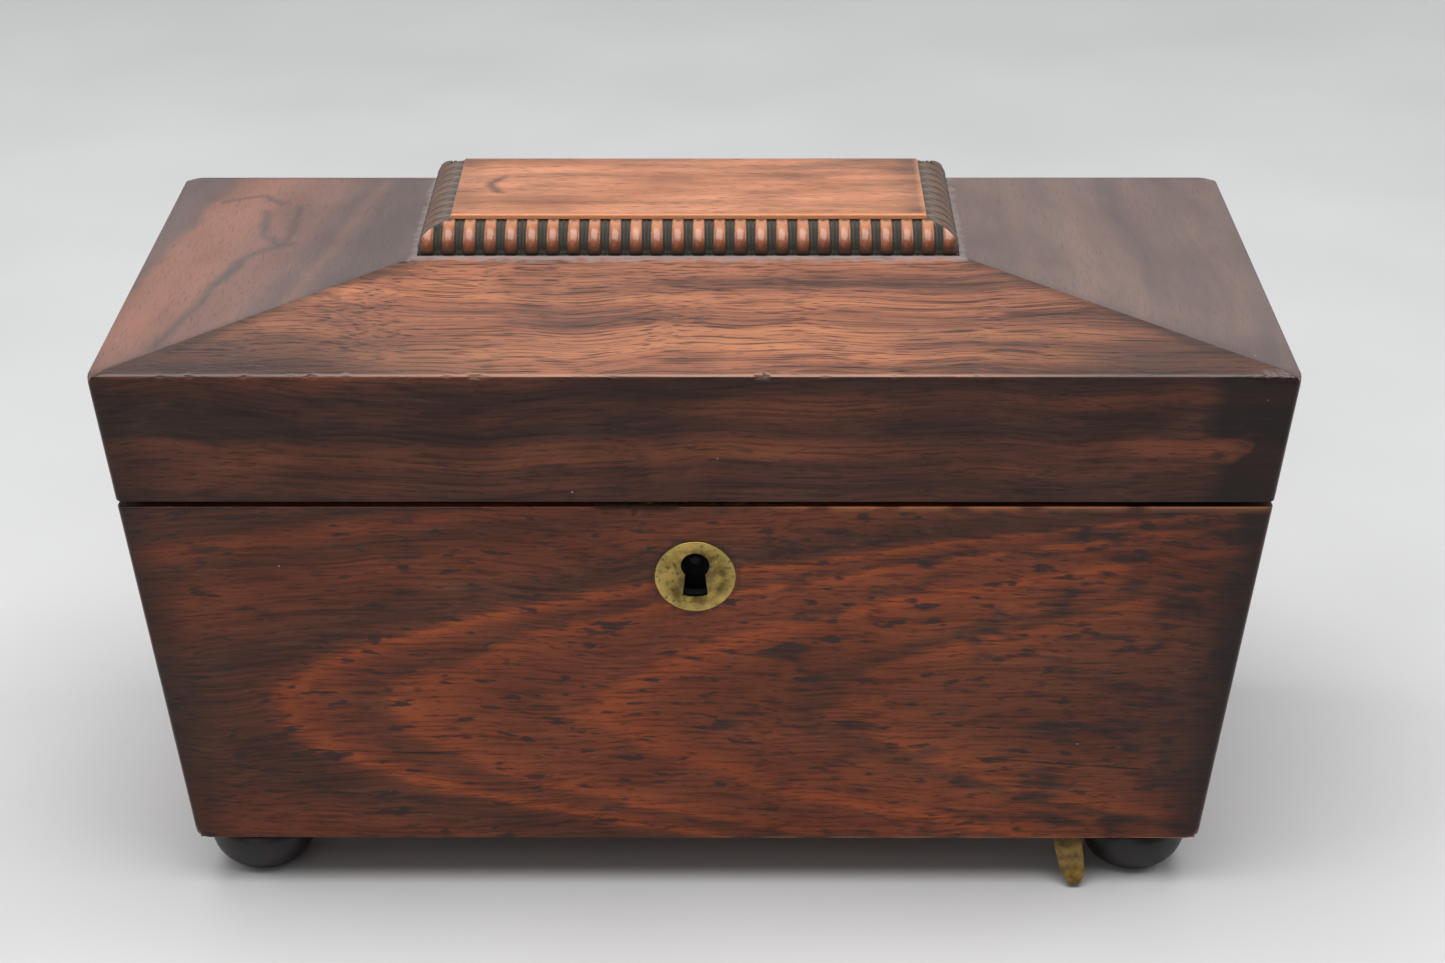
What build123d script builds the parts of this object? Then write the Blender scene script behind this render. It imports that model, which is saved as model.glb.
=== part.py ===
"""Sarcophagus tea caddy: a tapered, veneered box on bun feet with a hipped, hinged lid.

Frame: +Z up, +X to the right, the lock on the -Y side. The origin is on the table, under the
middle of the box. All lengths are in millimetres.
"""

import math
import os

from build123d import *

# ---------------------------------------------------------------- driving dimensions
# The box and the lid are one tapered shell, sawn apart at the seam.
RIM_W, RIM_D, RIM_Z = 305.5, 162.3, 156.5  # widest edge, where the sides meet the hipped top
TAPER = 0.115  # how far each side leans out for each unit of height
BASE_Z = 15.0  # underside of the box, which is the height of the feet
CASE_TOP = 118.8
LID_BOTTOM = 120.3
VENEER = 1.0
BOARD = 8.0
LIPPING = 1.0
BOTTOM_BOARD = 6.0

# Tablet on top of the lid, a little to the left of the middle, as it was glued.
TABLET_X = -2.0
TABLET_W, TABLET_D = 142.5, 66.1
TABLET_BASE = 171.7
TOP_Z = 180.3
TABLET_TOP_W, TABLET_TOP_D, TABLET_TOP = 125.7, 49.4, 1.2
TABLET_OVERHANG = 0.6
MOULD_R = TOP_Z - TABLET_TOP - TABLET_BASE  # crest of the ribs, from the centre of the quarter round
RIB_W, RIB_PROUD = 3.7, 1.1
RIBS_LONG, RIBS_SHORT = 26, 12

TOP_BOARD_Z = 149.0
PAD = 3.5

# Inside of the box.
WELL_HALF = 50.0
PARTITION = 5.0
INNER_TOP = 113.0
INNER_LID = 6.0
LEDGE_W, LEDGE_H = 4.0, 5.0
FOIL = 0.4
BAIZE = 1.2
LID_GAP = 0.4  # round each inner lid
BOWL_HOLE_R = 43.5

FOOT_R, FOOT_INSET_X, FOOT_INSET_Y = 14.3, 15.8, 17.3
FOOT_SPIGOT_R, FOOT_SPIGOT_H = 4.0, 5.0

# Butt hinges on the back edge.
HINGE_X = 95.0
HINGE_L = 30.0
HINGE_LEAF = 1.0
HINGE_REACH = 7.0
KNUCKLE_R = 2.2
PIN_R = 0.9
PIN_OUT = 1.6  # from the back of the box to the pin
CASE_LEAF_Z = 118.3
LID_LEAF_Z = 119.8

SCREW_HEAD_R, SCREW_R = 1.5, 0.85
SCREW_HEAD_H, SCREW_L = 0.65, 6.5
SCREW_SLOT_W, SCREW_SLOT_DEEP = 0.35, 0.3
SCREW_FIT = 0.03  # clearance all round in its hole
LEAF_SCREW_STEP = 10.0

# Keyhole plate and lock, placed down the slope of the front from its top edge.
PLATE_R, PLATE_DOWN, PLATE_PROUD = 10.5, 20.84, 0.2
KEYHOLE_R, KEYHOLE_UP, KEYHOLE_FOOT = 3.65, 3.4, -5.95
KEYHOLE_NECK, KEYHOLE_SKIRT = 4.95, 6.45
KEYHOLE_BEND = 0.6  # rise of its bottom edge from the middle to each end
LOCK_HALF_W, LOCK_TOP, LOCK_FOOT = 22.0, -2.9, -34.0
LOCK_WALL = 0.8
# Depths in the lock are measured outwards from the face of the veneer, so they are negative.
LOCK_FRONT, LOCK_BACK = -3.15, -8.2
LOCK_FIT = 0.15  # round the lock in its mortise
BOLT_OUT, BOLT_THICK = -5.4, 1.4
BOLT_LEFT, BOLT_RIGHT, BOLT_LOW, BOLT_HIGH = -20.6, 5.6, -13.2, -9.7
HOOK_POSTS, HOOK_POST_W, HOOK_L = (-20.6, 3.4), 2.2, 4.8
HOOK_LOW, HOOK_HIGH = -6.1, -3.9
TALONS, TALON_W, TALON_H = (-6.0, 1.0), 2.4, 2.0
LEVER_BACK, LEVER_THICK = -7.5, 1.1
LEVER_PIVOT, LEVER_PIN_R = (-15.0, -17.0), 1.4
DRILL_PIN_R, DRILL_PIN_OUT = 1.2, -2.6
HASP_X = 12.0
HASP_Y = 5.9  # in from the face of the box
HASP_THICK, HASP_DEEP, HASP_L = 2.2, 3.2, 9.1
HASP_SLOT_LOW, HASP_SLOT_HIGH, HASP_SLOT_DEEP = 7.9, 3.9, 2.0  # below the link plate
SELVEDGE = 1.5  # thickness of the lock's top plate and of the link plate
SELVEDGE_HALF_W, LINK_HALF_W = 25.8, 24.0
SELVEDGE_IN = 2.0  # from the face of the box to the lock's top plate
LINK_FRONT, LINK_BACK = 2.2, 8.8  # from the face of the box to the link plate's edges
PROUD = 0.05  # how far both plates stand out of the wood
LOCK_SCREW_X, LINK_SCREW_X = 23.7, 20.0
LOCK_SCREW_Y, LINK_SCREW_Y = 5.6, 5.4
CLEAR = 0.05

TAPE_X, TAPE_W, TAPE_T = 101.0, 8.2, 0.3
# The hanging end of the tape, torn off at a slant: sideways place and height.
TAPE_END = [(-4.1, 16.0), (-2.2, 7.0), (-1.4, 4.0), (1.1, 0.6)]
TAPE_END += [(4.1, 1.8), (5.2, 4.0), (4.8, 7.0), (4.1, 16.0)]

FAR = 200.0  # beyond every face, for cutting shapes


# ---------------------------------------------------------------- helpers
def half_w(z):
    return RIM_W / 2 - TAPER * (RIM_Z - z)


def half_d(z):
    return RIM_D / 2 - TAPER * (RIM_Z - z)


def frustum(z_low, z_high, inset):
    """The space inside the outer faces, drawn in by inset on every side."""
    sections = [
        Pos(0, 0, z) * Rectangle(2 * (half_w(z) - inset), 2 * (half_d(z) - inset))
        for z in (z_low, z_high)
    ]
    return loft(sections, ruled=True)


def prism(points, z_low, z_high):
    """A straight prism over a plan outline."""
    outline = make_face(Polyline(*points, close=True))
    return Pos(0, 0, z_low) * extrude(outline, z_high - z_low)


def slab(x_low, x_high, y_low, y_high, z_low, z_high):
    size = (x_high - x_low, y_high - y_low, z_high - z_low)
    middle = ((x_low + x_high) / 2, (y_low + y_high) / 2, (z_low + z_high) / 2)
    return Pos(*middle) * Box(*size)


def mitre_wedges():
    """Four plan wedges that part a rectangular ring along its mitres."""
    ridge = half_w(0) - half_d(0)
    reach = ridge + FAR
    plans = {
        "front": [(-ridge, 0), (-reach, -FAR), (reach, -FAR), (ridge, 0)],
        "back": [(-ridge, 0), (ridge, 0), (reach, FAR), (-reach, FAR)],
        "left": [(-ridge, 0), (-reach, FAR), (-reach, -FAR)],
        "right": [(ridge, 0), (reach, -FAR), (reach, FAR)],
    }
    return {side: prism(plan, 0, FAR) for side, plan in plans.items()}


WEDGES = mitre_wedges()
SIDES = ("front", "back", "left", "right")


def ring(z_low, z_high, outer, inner):
    return frustum(z_low, z_high, outer) - frustum(z_low, z_high, inner)


def ring_sides(z_low, z_high, outer, inner):
    """The four mitred sides of a tapered ring, by name."""
    whole = ring(z_low, z_high, outer, inner)
    return {side: whole & WEDGES[side] for side in SIDES}


def one(shape):
    """The largest solid of a result that should be a single piece."""
    return max(shape.solids(), key=lambda s: s.volume)


def group(shapes):
    """Separate solids that share one node."""
    return Compound(children=[s for shape in shapes for s in shape.solids()])


# The front face's own frame: x across, y up the slope, z outwards.
TILT = math.atan(TAPER)
FRONT = Plane(
    origin=(0, -half_d(CASE_TOP), CASE_TOP),
    x_dir=(1, 0, 0),
    z_dir=(0, -math.cos(TILT), -math.sin(TILT)),
).location


def on_front(x_low, x_high, up_low, up_high, out_low, out_high):
    return FRONT * slab(x_low, x_high, up_low, up_high, out_low, out_high)


def keyhole(grow, out_low, out_high):
    """A prism of the keyhole's outline, grown by grow, square to the front."""
    neck, skirt = KEYHOLE_NECK / 2 + grow, KEYHOLE_SKIRT / 2 + grow
    foot = KEYHOLE_FOOT - grow
    end = foot + KEYHOLE_BEND
    round_part = Pos(0, KEYHOLE_UP) * Circle(KEYHOLE_R + grow)
    outline = Polyline((-neck, KEYHOLE_UP), (-neck, 1), (-skirt, end))
    outline += ThreePointArc((-skirt, end), (0, foot), (skirt, end))
    outline += Polyline((skirt, end), (neck, 1), (neck, KEYHOLE_UP), (-neck, KEYHOLE_UP))
    hole = extrude(make_face(outline) + round_part, out_high - out_low)
    return FRONT * Pos(0, -PLATE_DOWN, out_low) * hole


# ---------------------------------------------------------------- screws
def screw(x, y, z, sign):
    """A slotted countersunk screw, head at z; sign is 1 for one driven up, -1 for one driven down."""
    head = Pos(0, 0, SCREW_HEAD_H / 2) * Cone(SCREW_HEAD_R, SCREW_R, SCREW_HEAD_H)
    shank = Pos(0, 0, SCREW_L / 2) * Cylinder(SCREW_R, SCREW_L)
    slot = Box(2 * SCREW_HEAD_R + 1, SCREW_SLOT_W, 2 * SCREW_SLOT_DEEP)
    body = head + shank - slot
    turn = Rot(0, 0, 35) if sign > 0 else Rot(180, 0, 20)
    return Pos(x, y, z) * turn * body


def screw_hole(x, y, z, sign):
    head_r, shank_r = SCREW_HEAD_R + SCREW_FIT, SCREW_R + SCREW_FIT
    head = Pos(0, 0, SCREW_HEAD_H / 2) * Cone(head_r, shank_r, SCREW_HEAD_H)
    shank = Pos(0, 0, SCREW_L / 2) * Cylinder(shank_r, SCREW_L + 2 * SCREW_FIT)
    turn = Rot(0, 0, 0) if sign > 0 else Rot(180, 0, 0)
    return Pos(x, y, z) * turn * (head + shank)


def bore_all(shape, holes):
    for hole in holes:
        shape = shape - hole
    return shape


PIN_Y = half_d((CASE_TOP + LID_BOTTOM) / 2) + PIN_OUT
PIN_Z = (CASE_TOP + LID_BOTTOM) / 2
LEAF_Y = PIN_Y - KNUCKLE_R - HINGE_REACH  # inner edge of a leaf
LEAF_SCREW_Y = LEAF_Y + 0.52 * HINGE_REACH
LEAF_SCREWS = [
    (side * HINGE_X + step * LEAF_SCREW_STEP, LEAF_SCREW_Y) for side in (-1, 1) for step in (-1, 0, 1)
]
CASE_LEAF_TOP = CASE_LEAF_Z + HINGE_LEAF
FACE_Y = -half_d(CASE_TOP)  # the front face at the case's rim
LOCK_SCREWS = [(x, FACE_Y + LOCK_SCREW_Y) for x in (-LOCK_SCREW_X, LOCK_SCREW_X)]
LINK_SCREWS = [(x, FACE_Y + LINK_SCREW_Y) for x in (-LINK_SCREW_X, 0.0, LINK_SCREW_X)]
SELVEDGE_TOP = CASE_TOP + PROUD
LINK_BOTTOM = LID_BOTTOM - PROUD

CASE_HOLES = [screw_hole(x, y, CASE_LEAF_TOP, -1) for x, y in LEAF_SCREWS]
CASE_HOLES += [screw_hole(x, y, SELVEDGE_TOP, -1) for x, y in LOCK_SCREWS]
LID_HOLES = [screw_hole(x, y, LID_LEAF_Z, 1) for x, y in LEAF_SCREWS]
LID_HOLES += [screw_hole(x, y, LINK_BOTTOM, 1) for x, y in LINK_SCREWS]


# ---------------------------------------------------------------- hinges
def leaf_recess(z_low, z_high):
    """Housings for both leaves, open at the back."""
    return [
        slab(x - HINGE_L / 2, x + HINGE_L / 2, LEAF_Y, half_d(PIN_Z) + 6, z_low, z_high)
        for x in (-HINGE_X, HINGE_X)
    ]


def knuckle_relief():
    """Room for the knuckles in the back edges of the box and the lid."""
    return [
        Pos(x, PIN_Y, PIN_Z) * Rot(0, 90, 0) * Cylinder(KNUCKLE_R + 0.15, HINGE_L)
        for x in (-HINGE_X, HINGE_X)
    ]


def hinge_leaf(x, z_low, parts, holes):
    """One leaf: a plate in its housing and the knuckles at the given thirds of its length."""
    plate = slab(x - HINGE_L / 2, x + HINGE_L / 2, LEAF_Y, PIN_Y, z_low, z_low + HINGE_LEAF)
    third = HINGE_L / 3
    barrel_room = Pos(x, PIN_Y, PIN_Z) * Rot(0, 90, 0) * Cylinder(KNUCKLE_R + 0.1, HINGE_L + 2)
    leaf = plate - barrel_room
    for part in parts:
        middle = x + (part - 1) * third
        width = third - 0.1
        knuckle = Pos(middle, PIN_Y, PIN_Z) * Rot(0, 90, 0) * Cylinder(KNUCKLE_R, width)
        strap = slab(
            middle - width / 2,
            middle + width / 2,
            PIN_Y - KNUCKLE_R - 0.6,
            PIN_Y,
            z_low,
            z_low + HINGE_LEAF,
        )
        leaf = leaf + knuckle + strap
    leaf = leaf - Pos(x, PIN_Y, PIN_Z) * Rot(0, 90, 0) * Cylinder(PIN_R + 0.03, HINGE_L + 2)
    return one(bore_all(leaf, holes))


def hinge_pin(x):
    return Pos(x, PIN_Y, PIN_Z) * Rot(0, 90, 0) * Cylinder(PIN_R, HINGE_L)


# ---------------------------------------------------------------- the box
def case_parts():
    inner = VENEER + BOARD
    floor = BASE_Z + BOTTOM_BOARD
    boards = ring_sides(floor, CASE_TOP - LIPPING, VENEER, inner)
    veneers = ring_sides(BASE_Z, CASE_TOP, 0, VENEER)
    lipping = ring_sides(CASE_TOP - LIPPING, CASE_TOP, VENEER, inner)
    leaf_room = leaf_recess(CASE_LEAF_Z, CASE_TOP + 1) + knuckle_relief()

    lock_room = on_front(
        -LOCK_HALF_W, LOCK_HALF_W, LOCK_FOOT, 3, -BOARD - 3, LOCK_FRONT + CLEAR
    )
    selvedge_room = selvedge_slab(CASE_TOP + 1)
    front = boards["front"] - lock_room - selvedge_room - keyhole(0.3, -6, 2)
    boards["front"] = bore_all(front, CASE_HOLES[6:])
    boards["back"] = bore_all(boards["back"], leaf_room + CASE_HOLES[:6])
    lipping["front"] = bore_all(lipping["front"] - selvedge_room - lock_room, CASE_HOLES[6:])
    lipping["back"] = bore_all(lipping["back"], leaf_room + CASE_HOLES[:6])
    plate_hole = FRONT * Pos(0, -PLATE_DOWN, 0) * Cylinder(PLATE_R + 0.02, 6)
    veneers["front"] = veneers["front"] - plate_hole
    veneers["back"] = bore_all(veneers["back"], leaf_room)

    parts = {f"case_{side}_board": one(boards[side]) for side in SIDES}
    parts |= {f"case_{side}_veneer": one(veneers[side]) for side in SIDES}
    parts["case_rim_lipping"] = group(lipping.values())

    bottom = frustum(BASE_Z, floor, VENEER)
    for x, y in foot_places():
        bottom -= Pos(x, y, BASE_Z + FOOT_SPIGOT_H / 2) * Cylinder(
            FOOT_SPIGOT_R + CLEAR, FOOT_SPIGOT_H + 0.2
        )
    parts["case_bottom_board"] = one(bottom)
    return parts


def foot_places():
    x, y = half_w(BASE_Z) - FOOT_INSET_X, half_d(BASE_Z) - FOOT_INSET_Y
    return [(-x, -y), (x, -y), (-x, y), (x, y)]


def foot():
    """A squat turned bun with a short neck under the box and a spigot above it."""
    h = BASE_Z
    outline = Polyline((0, 0), (5.5, 0))
    outline += Spline(
        (5.5, 0),
        (11.0, 2.6),
        (FOOT_R, 8.2),
        (FOOT_R - 1.0, 12.6),
        tangents=[(1, 0.12), (-0.45, 1)],
    )
    outline += Polyline(
        (FOOT_R - 1.0, 12.6),
        (FOOT_R - 2.2, 13.2),
        (FOOT_R - 2.2, h),
        (FOOT_SPIGOT_R, h),
        (FOOT_SPIGOT_R, h + FOOT_SPIGOT_H),
        (0, h + FOOT_SPIGOT_H),
        (0, 0),
    )
    return revolve(make_face(Plane.XZ * outline), Axis.Z)


# ---------------------------------------------------------------- inside of the box
def inside(z_low, z_high, x_low, x_high, gap=0.0):
    """The space between the boards and between two upright planes."""
    room = frustum(z_low, z_high, VENEER + BOARD + gap)
    return room & slab(x_low, x_high, -100, 100, z_low, z_high)


def compartments():
    """x limits of the two tea compartments at their widest."""
    wall = WELL_HALF + PARTITION
    return {"left": (-RIM_W, -wall), "right": (wall, RIM_W)}


def fittings():
    floor = BASE_Z + BOTTOM_BOARD
    ledge_top = INNER_TOP - INNER_LID
    ledge_low = ledge_top - LEDGE_H
    parts = {}
    for side, sign in (("left", -1), ("right", 1)):
        edges = sorted((sign * WELL_HALF, sign * (WELL_HALF + PARTITION)))
        parts[f"partition_{side}"] = one(inside(floor, INNER_TOP, *edges))

    strips = []
    ledge_ring = ring(ledge_low, ledge_top, VENEER + BOARD, VENEER + BOARD + LEDGE_W)
    for side, (low, high) in compartments().items():
        room = slab(low, high, -100, 100, ledge_low, ledge_top)
        for wall in ("front", "back", side):
            strips.append(one(ledge_ring & room & WEDGES[wall]))
    well = slab(-WELL_HALF, WELL_HALF, -100, 100, ledge_low, ledge_top)
    for wall in ("front", "back"):
        strips.append(one(ledge_ring & well & WEDGES[wall]))
    parts["ledge_strips"] = group(strips)

    foils = []
    for low, high in compartments().values():
        shell = inside(floor, ledge_low, low, high)
        near = min(abs(low), abs(high)) + FOIL
        edge = (-RIM_W, -near) if low < 0 else (near, RIM_W)
        hollow = inside(floor + FOIL, ledge_low + 1, *edge, gap=FOIL)
        foils.append(one(shell - hollow))
    parts["foil_linings"] = group(foils)

    board = inside(ledge_top, INNER_TOP, -WELL_HALF, WELL_HALF)
    board -= Pos(0, 0, INNER_TOP) * Cylinder(BOWL_HOLE_R, 40)
    parts["bowl_board"] = one(board)
    parts["well_baize"] = one(inside(floor, floor + BAIZE, -WELL_HALF, WELL_HALF, gap=0.5))
    return parts


def inner_lids():
    """Loose lids of the two tea compartments, each with a turned knob."""
    parts = {}
    ledge_top = INNER_TOP - INNER_LID
    for side, sign in (("left", -1), ("right", 1)):
        near = sign * (WELL_HALF + PARTITION + LID_GAP)
        edges = sorted((near, sign * RIM_W))
        low_room = frustum(ledge_top, ledge_top + 0.01, VENEER + BOARD + LID_GAP)
        plan = low_room & slab(*edges, -100, 100, ledge_top, INNER_TOP)
        box = plan.bounding_box()
        plate = slab(box.min.X, box.max.X, box.min.Y, box.max.Y, ledge_top, INNER_TOP)
        rim = [e for e in plate.edges() if abs(e.center().Z - INNER_TOP) < 0.01]
        plate = chamfer(rim, 0.6)
        middle = (box.min.X + box.max.X) / 2
        hole = Pos(middle, 0, INNER_TOP - 2) * Cylinder(2.0 + CLEAR, 4.2)
        parts[f"inner_lid_{side}"] = one(plate - hole)
        parts[f"knob_{side}"] = Pos(middle, 0, INNER_TOP) * knob()
    return parts


def knob():
    """A small turned knob, its spigot in the lid."""
    outline = Polyline((0, -4), (2.0, -4), (2.0, 0), (5.0, 0), (5.0, 0.9))
    outline += Spline((5.0, 0.9), (2.6, 3.0), (3.1, 4.6), tangents=[(-1, 0.2), (0.6, 1)])
    outline += Spline(
        (3.1, 4.6), (6.0, 7.4), (4.4, 10.4), (0, 11.4), tangents=[(1, 0.5), (-1, 0)]
    )
    outline += Polyline((0, 11.4), (0, -4))
    return one(revolve(make_face(Plane.XZ * outline), Axis.Z))


BOWL_FLOOR = BASE_Z + BOTTOM_BOARD + BAIZE
BOWL_H = 95.0
BOWL_RIM_R = 42.0
BOWL_WALL = 3.2


def bowl():
    """A tall glass mixing bowl that stands on the floor of the well."""
    foot_r = 25.0
    outer = [(foot_r, 2.0), (36.5, 16.0), (40.6, 46.0), (BOWL_RIM_R, BOWL_H - 1.5)]
    inner = [(38.8, BOWL_H - 1.5), (37.3, 46.0), (33.0, 17.0), (18.0, 7.0)]
    outline = Polyline((0, 0.8), (18, 0.8), (20, 0), (foot_r - 0.6, 0), (foot_r, 0.6), outer[0])
    outline += Spline(*outer, tangents=[(1, 0.25), (0.0, 1)])
    outline += ThreePointArc(outer[-1], (40.4, BOWL_H), inner[0])
    outline += Spline(*inner, tangents=[(0, -1), (-1, -0.12)])
    outline += Polyline(inner[-1], (0, 6.2), (0, 0.8))
    body = revolve(make_face(Plane.XZ * outline), Axis.Z)
    return Pos(0, 0, BOWL_FLOOR) * one(body)


# ---------------------------------------------------------------- lock
def selvedge_slab(z_high):
    """The lock's top plate, let into the rim of the front board."""
    half, y_low, y_high = SELVEDGE_HALF_W, FACE_Y + SELVEDGE_IN, FACE_Y + VENEER + BOARD
    return slab(-half, half, y_low, y_high, SELVEDGE_TOP - SELVEDGE, z_high)


def hasp_slab(x, grow, z_low, z_high):
    y = FACE_Y + HASP_Y
    half_x, half_y = HASP_THICK / 2 + grow, HASP_DEEP / 2 + grow
    return slab(x - half_x, x + half_x, y - half_y, y + half_y, z_low, z_high)


def lock_plate():
    """The brass selvedge and back plate in one piece, and the pin that a barrel key slides over."""
    side = LOCK_HALF_W - LOCK_FIT
    back = on_front(-side, side, LOCK_FOOT + LOCK_FIT, 1, -BOARD - 0.8, LOCK_BACK)
    plate = selvedge_slab(SELVEDGE_TOP) + (back & slab(-FAR, FAR, -FAR, 0, 0, SELVEDGE_TOP))
    for x in (-HASP_X, HASP_X):
        plate -= hasp_slab(x, 0.5, SELVEDGE_TOP - FAR / 10, SELVEDGE_TOP + 1)
    plate = bore_all(plate, CASE_HOLES[6:])
    pin_long = DRILL_PIN_OUT - LOCK_BACK
    pin_middle = (DRILL_PIN_OUT + LOCK_BACK) / 2
    pin = FRONT * Pos(0, KEYHOLE_UP - PLATE_DOWN, pin_middle) * Cylinder(DRILL_PIN_R, pin_long)
    return group([one(plate), pin])


def lock_cap():
    """The iron box over the works, open at the back, with the post that the lever turns on."""
    side, foot = LOCK_HALF_W - LOCK_FIT, LOCK_FOOT + LOCK_FIT
    outer = on_front(-side, side, foot, LOCK_TOP, LOCK_BACK, LOCK_FRONT)
    inner_side, front = side - LOCK_WALL, LOCK_FRONT - LOCK_WALL
    room = on_front(
        -inner_side, inner_side, foot + LOCK_WALL, LOCK_TOP - LOCK_WALL, LOCK_BACK - 1, front
    )
    cap = outer - room - keyhole(0.2, LOCK_BACK, LOCK_FRONT + 1)
    for x in (-HASP_X, HASP_X):
        cap -= hasp_slab(x, 0.6, CASE_TOP - 14, CASE_TOP + 1)
    post_long = front + LOCK_WALL / 2 - LOCK_BACK
    post = Cylinder(LEVER_PIN_R, post_long)
    return one(cap + FRONT * Pos(*LEVER_PIVOT, LOCK_BACK + post_long / 2) * post)


def lock_bolt():
    """A bar with two hooks that slide into the hasps, and two talons below for the key's bit."""
    depth = (BOLT_OUT - BOLT_THICK / 2, BOLT_OUT + BOLT_THICK / 2)
    bolt = on_front(BOLT_LEFT, BOLT_RIGHT, BOLT_LOW, BOLT_HIGH, *depth)
    for post in HOOK_POSTS:
        tip = post + HOOK_POST_W
        bolt += on_front(post, tip, BOLT_HIGH, HOOK_HIGH, *depth)
        bolt += on_front(tip, tip + HOOK_L, HOOK_LOW, HOOK_HIGH, *depth)
    for talon in TALONS:
        bolt += on_front(talon, talon + TALON_W, BOLT_LOW - TALON_H, BOLT_LOW, *depth)
    return one(bolt)


def lock_lever():
    """The lever that holds the bolt, and the leaf spring that presses on it."""
    arm = Polyline(
        (-17.5, -19.4), (-12.5, -19.4), (-6.0, -15.8), (8.0, -15.7), (8.0, -13.0),
        (-11.0, -13.4), (-17.5, -14.6), close=True,
    )
    lever = FRONT * Pos(0, 0, LEVER_BACK) * extrude(make_face(arm), LEVER_THICK)
    pivot_hole = Cylinder(LEVER_PIN_R + CLEAR, 4 * LEVER_THICK)
    lever -= FRONT * Pos(*LEVER_PIVOT, LEVER_BACK) * pivot_hole
    leaf = Polyline((-13.4, -13.85), (-12.9, -13.8), (-18.6, -8.6), (-18.95, -8.95), close=True)
    spring = FRONT * Pos(0, 0, LEVER_BACK) * extrude(make_face(leaf), LEVER_THICK - 0.1)
    return group([one(lever), one(spring - lever)])


def escutcheon():
    """A round brass plate let into the veneer, a hair proud of it."""
    thick = PLATE_PROUD + VENEER * math.cos(TILT)
    disc = FRONT * Pos(0, -PLATE_DOWN, PLATE_PROUD - thick / 2) * Cylinder(PLATE_R, thick)
    return one(disc - keyhole(0, -3, 3))


def link_slab(z_low):
    y_low, y_high = FACE_Y + LINK_FRONT, FACE_Y + LINK_BACK
    return slab(-LINK_HALF_W, LINK_HALF_W, y_low, y_high, z_low, LINK_BOTTOM + SELVEDGE)


def link_plate():
    """The brass plate under the lid's rim, with the two hasps that the bolt passes through."""
    plate = link_slab(LINK_BOTTOM)
    y_low = FACE_Y + HASP_Y - HASP_SLOT_DEEP / 2
    slot_z = (LINK_BOTTOM - HASP_SLOT_LOW, LINK_BOTTOM - HASP_SLOT_HIGH)
    for x in (-HASP_X, HASP_X):
        plate += hasp_slab(x, 0, LINK_BOTTOM - HASP_L, LINK_BOTTOM)
        plate -= slab(x - HASP_DEEP, x + HASP_DEEP, y_low, y_low + HASP_SLOT_DEEP, *slot_z)
    return one(bore_all(plate, LID_HOLES[6:]))


# ---------------------------------------------------------------- the lid
def tablet_corners():
    half_x, half_y = TABLET_W / 2, TABLET_D / 2
    return TABLET_X - half_x, TABLET_X + half_x, -half_y, half_y


def hipped(rim_z, rim_inset, flat_z):
    """The hipped upper part, from the rim to the flat that carries the tablet."""
    rim = Pos(0, 0, rim_z) * Rectangle(RIM_W - 2 * rim_inset, RIM_D - 2 * rim_inset)
    flat = Pos(TABLET_X, 0, flat_z) * Rectangle(TABLET_W, TABLET_D)
    return loft([rim, flat], ruled=True)


def hip_plans():
    """Plan outlines of the four slopes, each from the rim to the tablet."""
    x, y = RIM_W / 2, RIM_D / 2
    left, right, near, far = tablet_corners()
    return {
        "front": [(-x, -y), (x, -y), (right, near), (left, near)],
        "back": [(-x, y), (left, far), (right, far), (x, y)],
        "left": [(-x, -y), (left, near), (left, far), (-x, y)],
        "right": [(x, -y), (x, y), (right, far), (right, near)],
    }


def lid_parts():
    inner = VENEER + BOARD
    veneer_top = RIM_Z - VENEER
    boards = ring_sides(LID_BOTTOM + LIPPING, TOP_BOARD_Z, VENEER, inner)
    veneers = ring_sides(LID_BOTTOM, veneer_top, 0, VENEER)
    lipping = ring_sides(LID_BOTTOM, LID_BOTTOM + LIPPING, VENEER, inner)
    leaf_room = leaf_recess(LID_BOTTOM - 1, LID_LEAF_Z + HINGE_LEAF) + knuckle_relief()
    link_room = [link_slab(LID_BOTTOM - 1)] + LID_HOLES[6:]
    leaf_room = leaf_room + LID_HOLES[:6]
    for pieces in (boards, lipping):
        pieces["front"] = bore_all(pieces["front"], link_room)
        pieces["back"] = bore_all(pieces["back"], leaf_room)
    veneers["back"] = bore_all(veneers["back"], leaf_room)

    parts = {f"lid_{side}_board": one(boards[side]) for side in SIDES}
    parts |= {f"lid_{side}_veneer": one(veneers[side]) for side in SIDES}
    parts["lid_rim_lipping"] = group(lipping.values())

    under = hipped(veneer_top, VENEER, TABLET_BASE - VENEER)
    parts["lid_top_board"] = one(frustum(TOP_BOARD_Z, veneer_top, VENEER) + under)
    over = frustum(veneer_top, RIM_Z, 0) + hipped(RIM_Z, 0, TABLET_BASE)
    skin = over - under
    for side, plan in hip_plans().items():
        parts[f"slope_{side}_veneer"] = one(skin & prism(plan, 140, 190))
    parts["lid_pad"] = one(frustum(TOP_BOARD_Z - PAD, TOP_BOARD_Z, inner + 0.8))
    return parts


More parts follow.
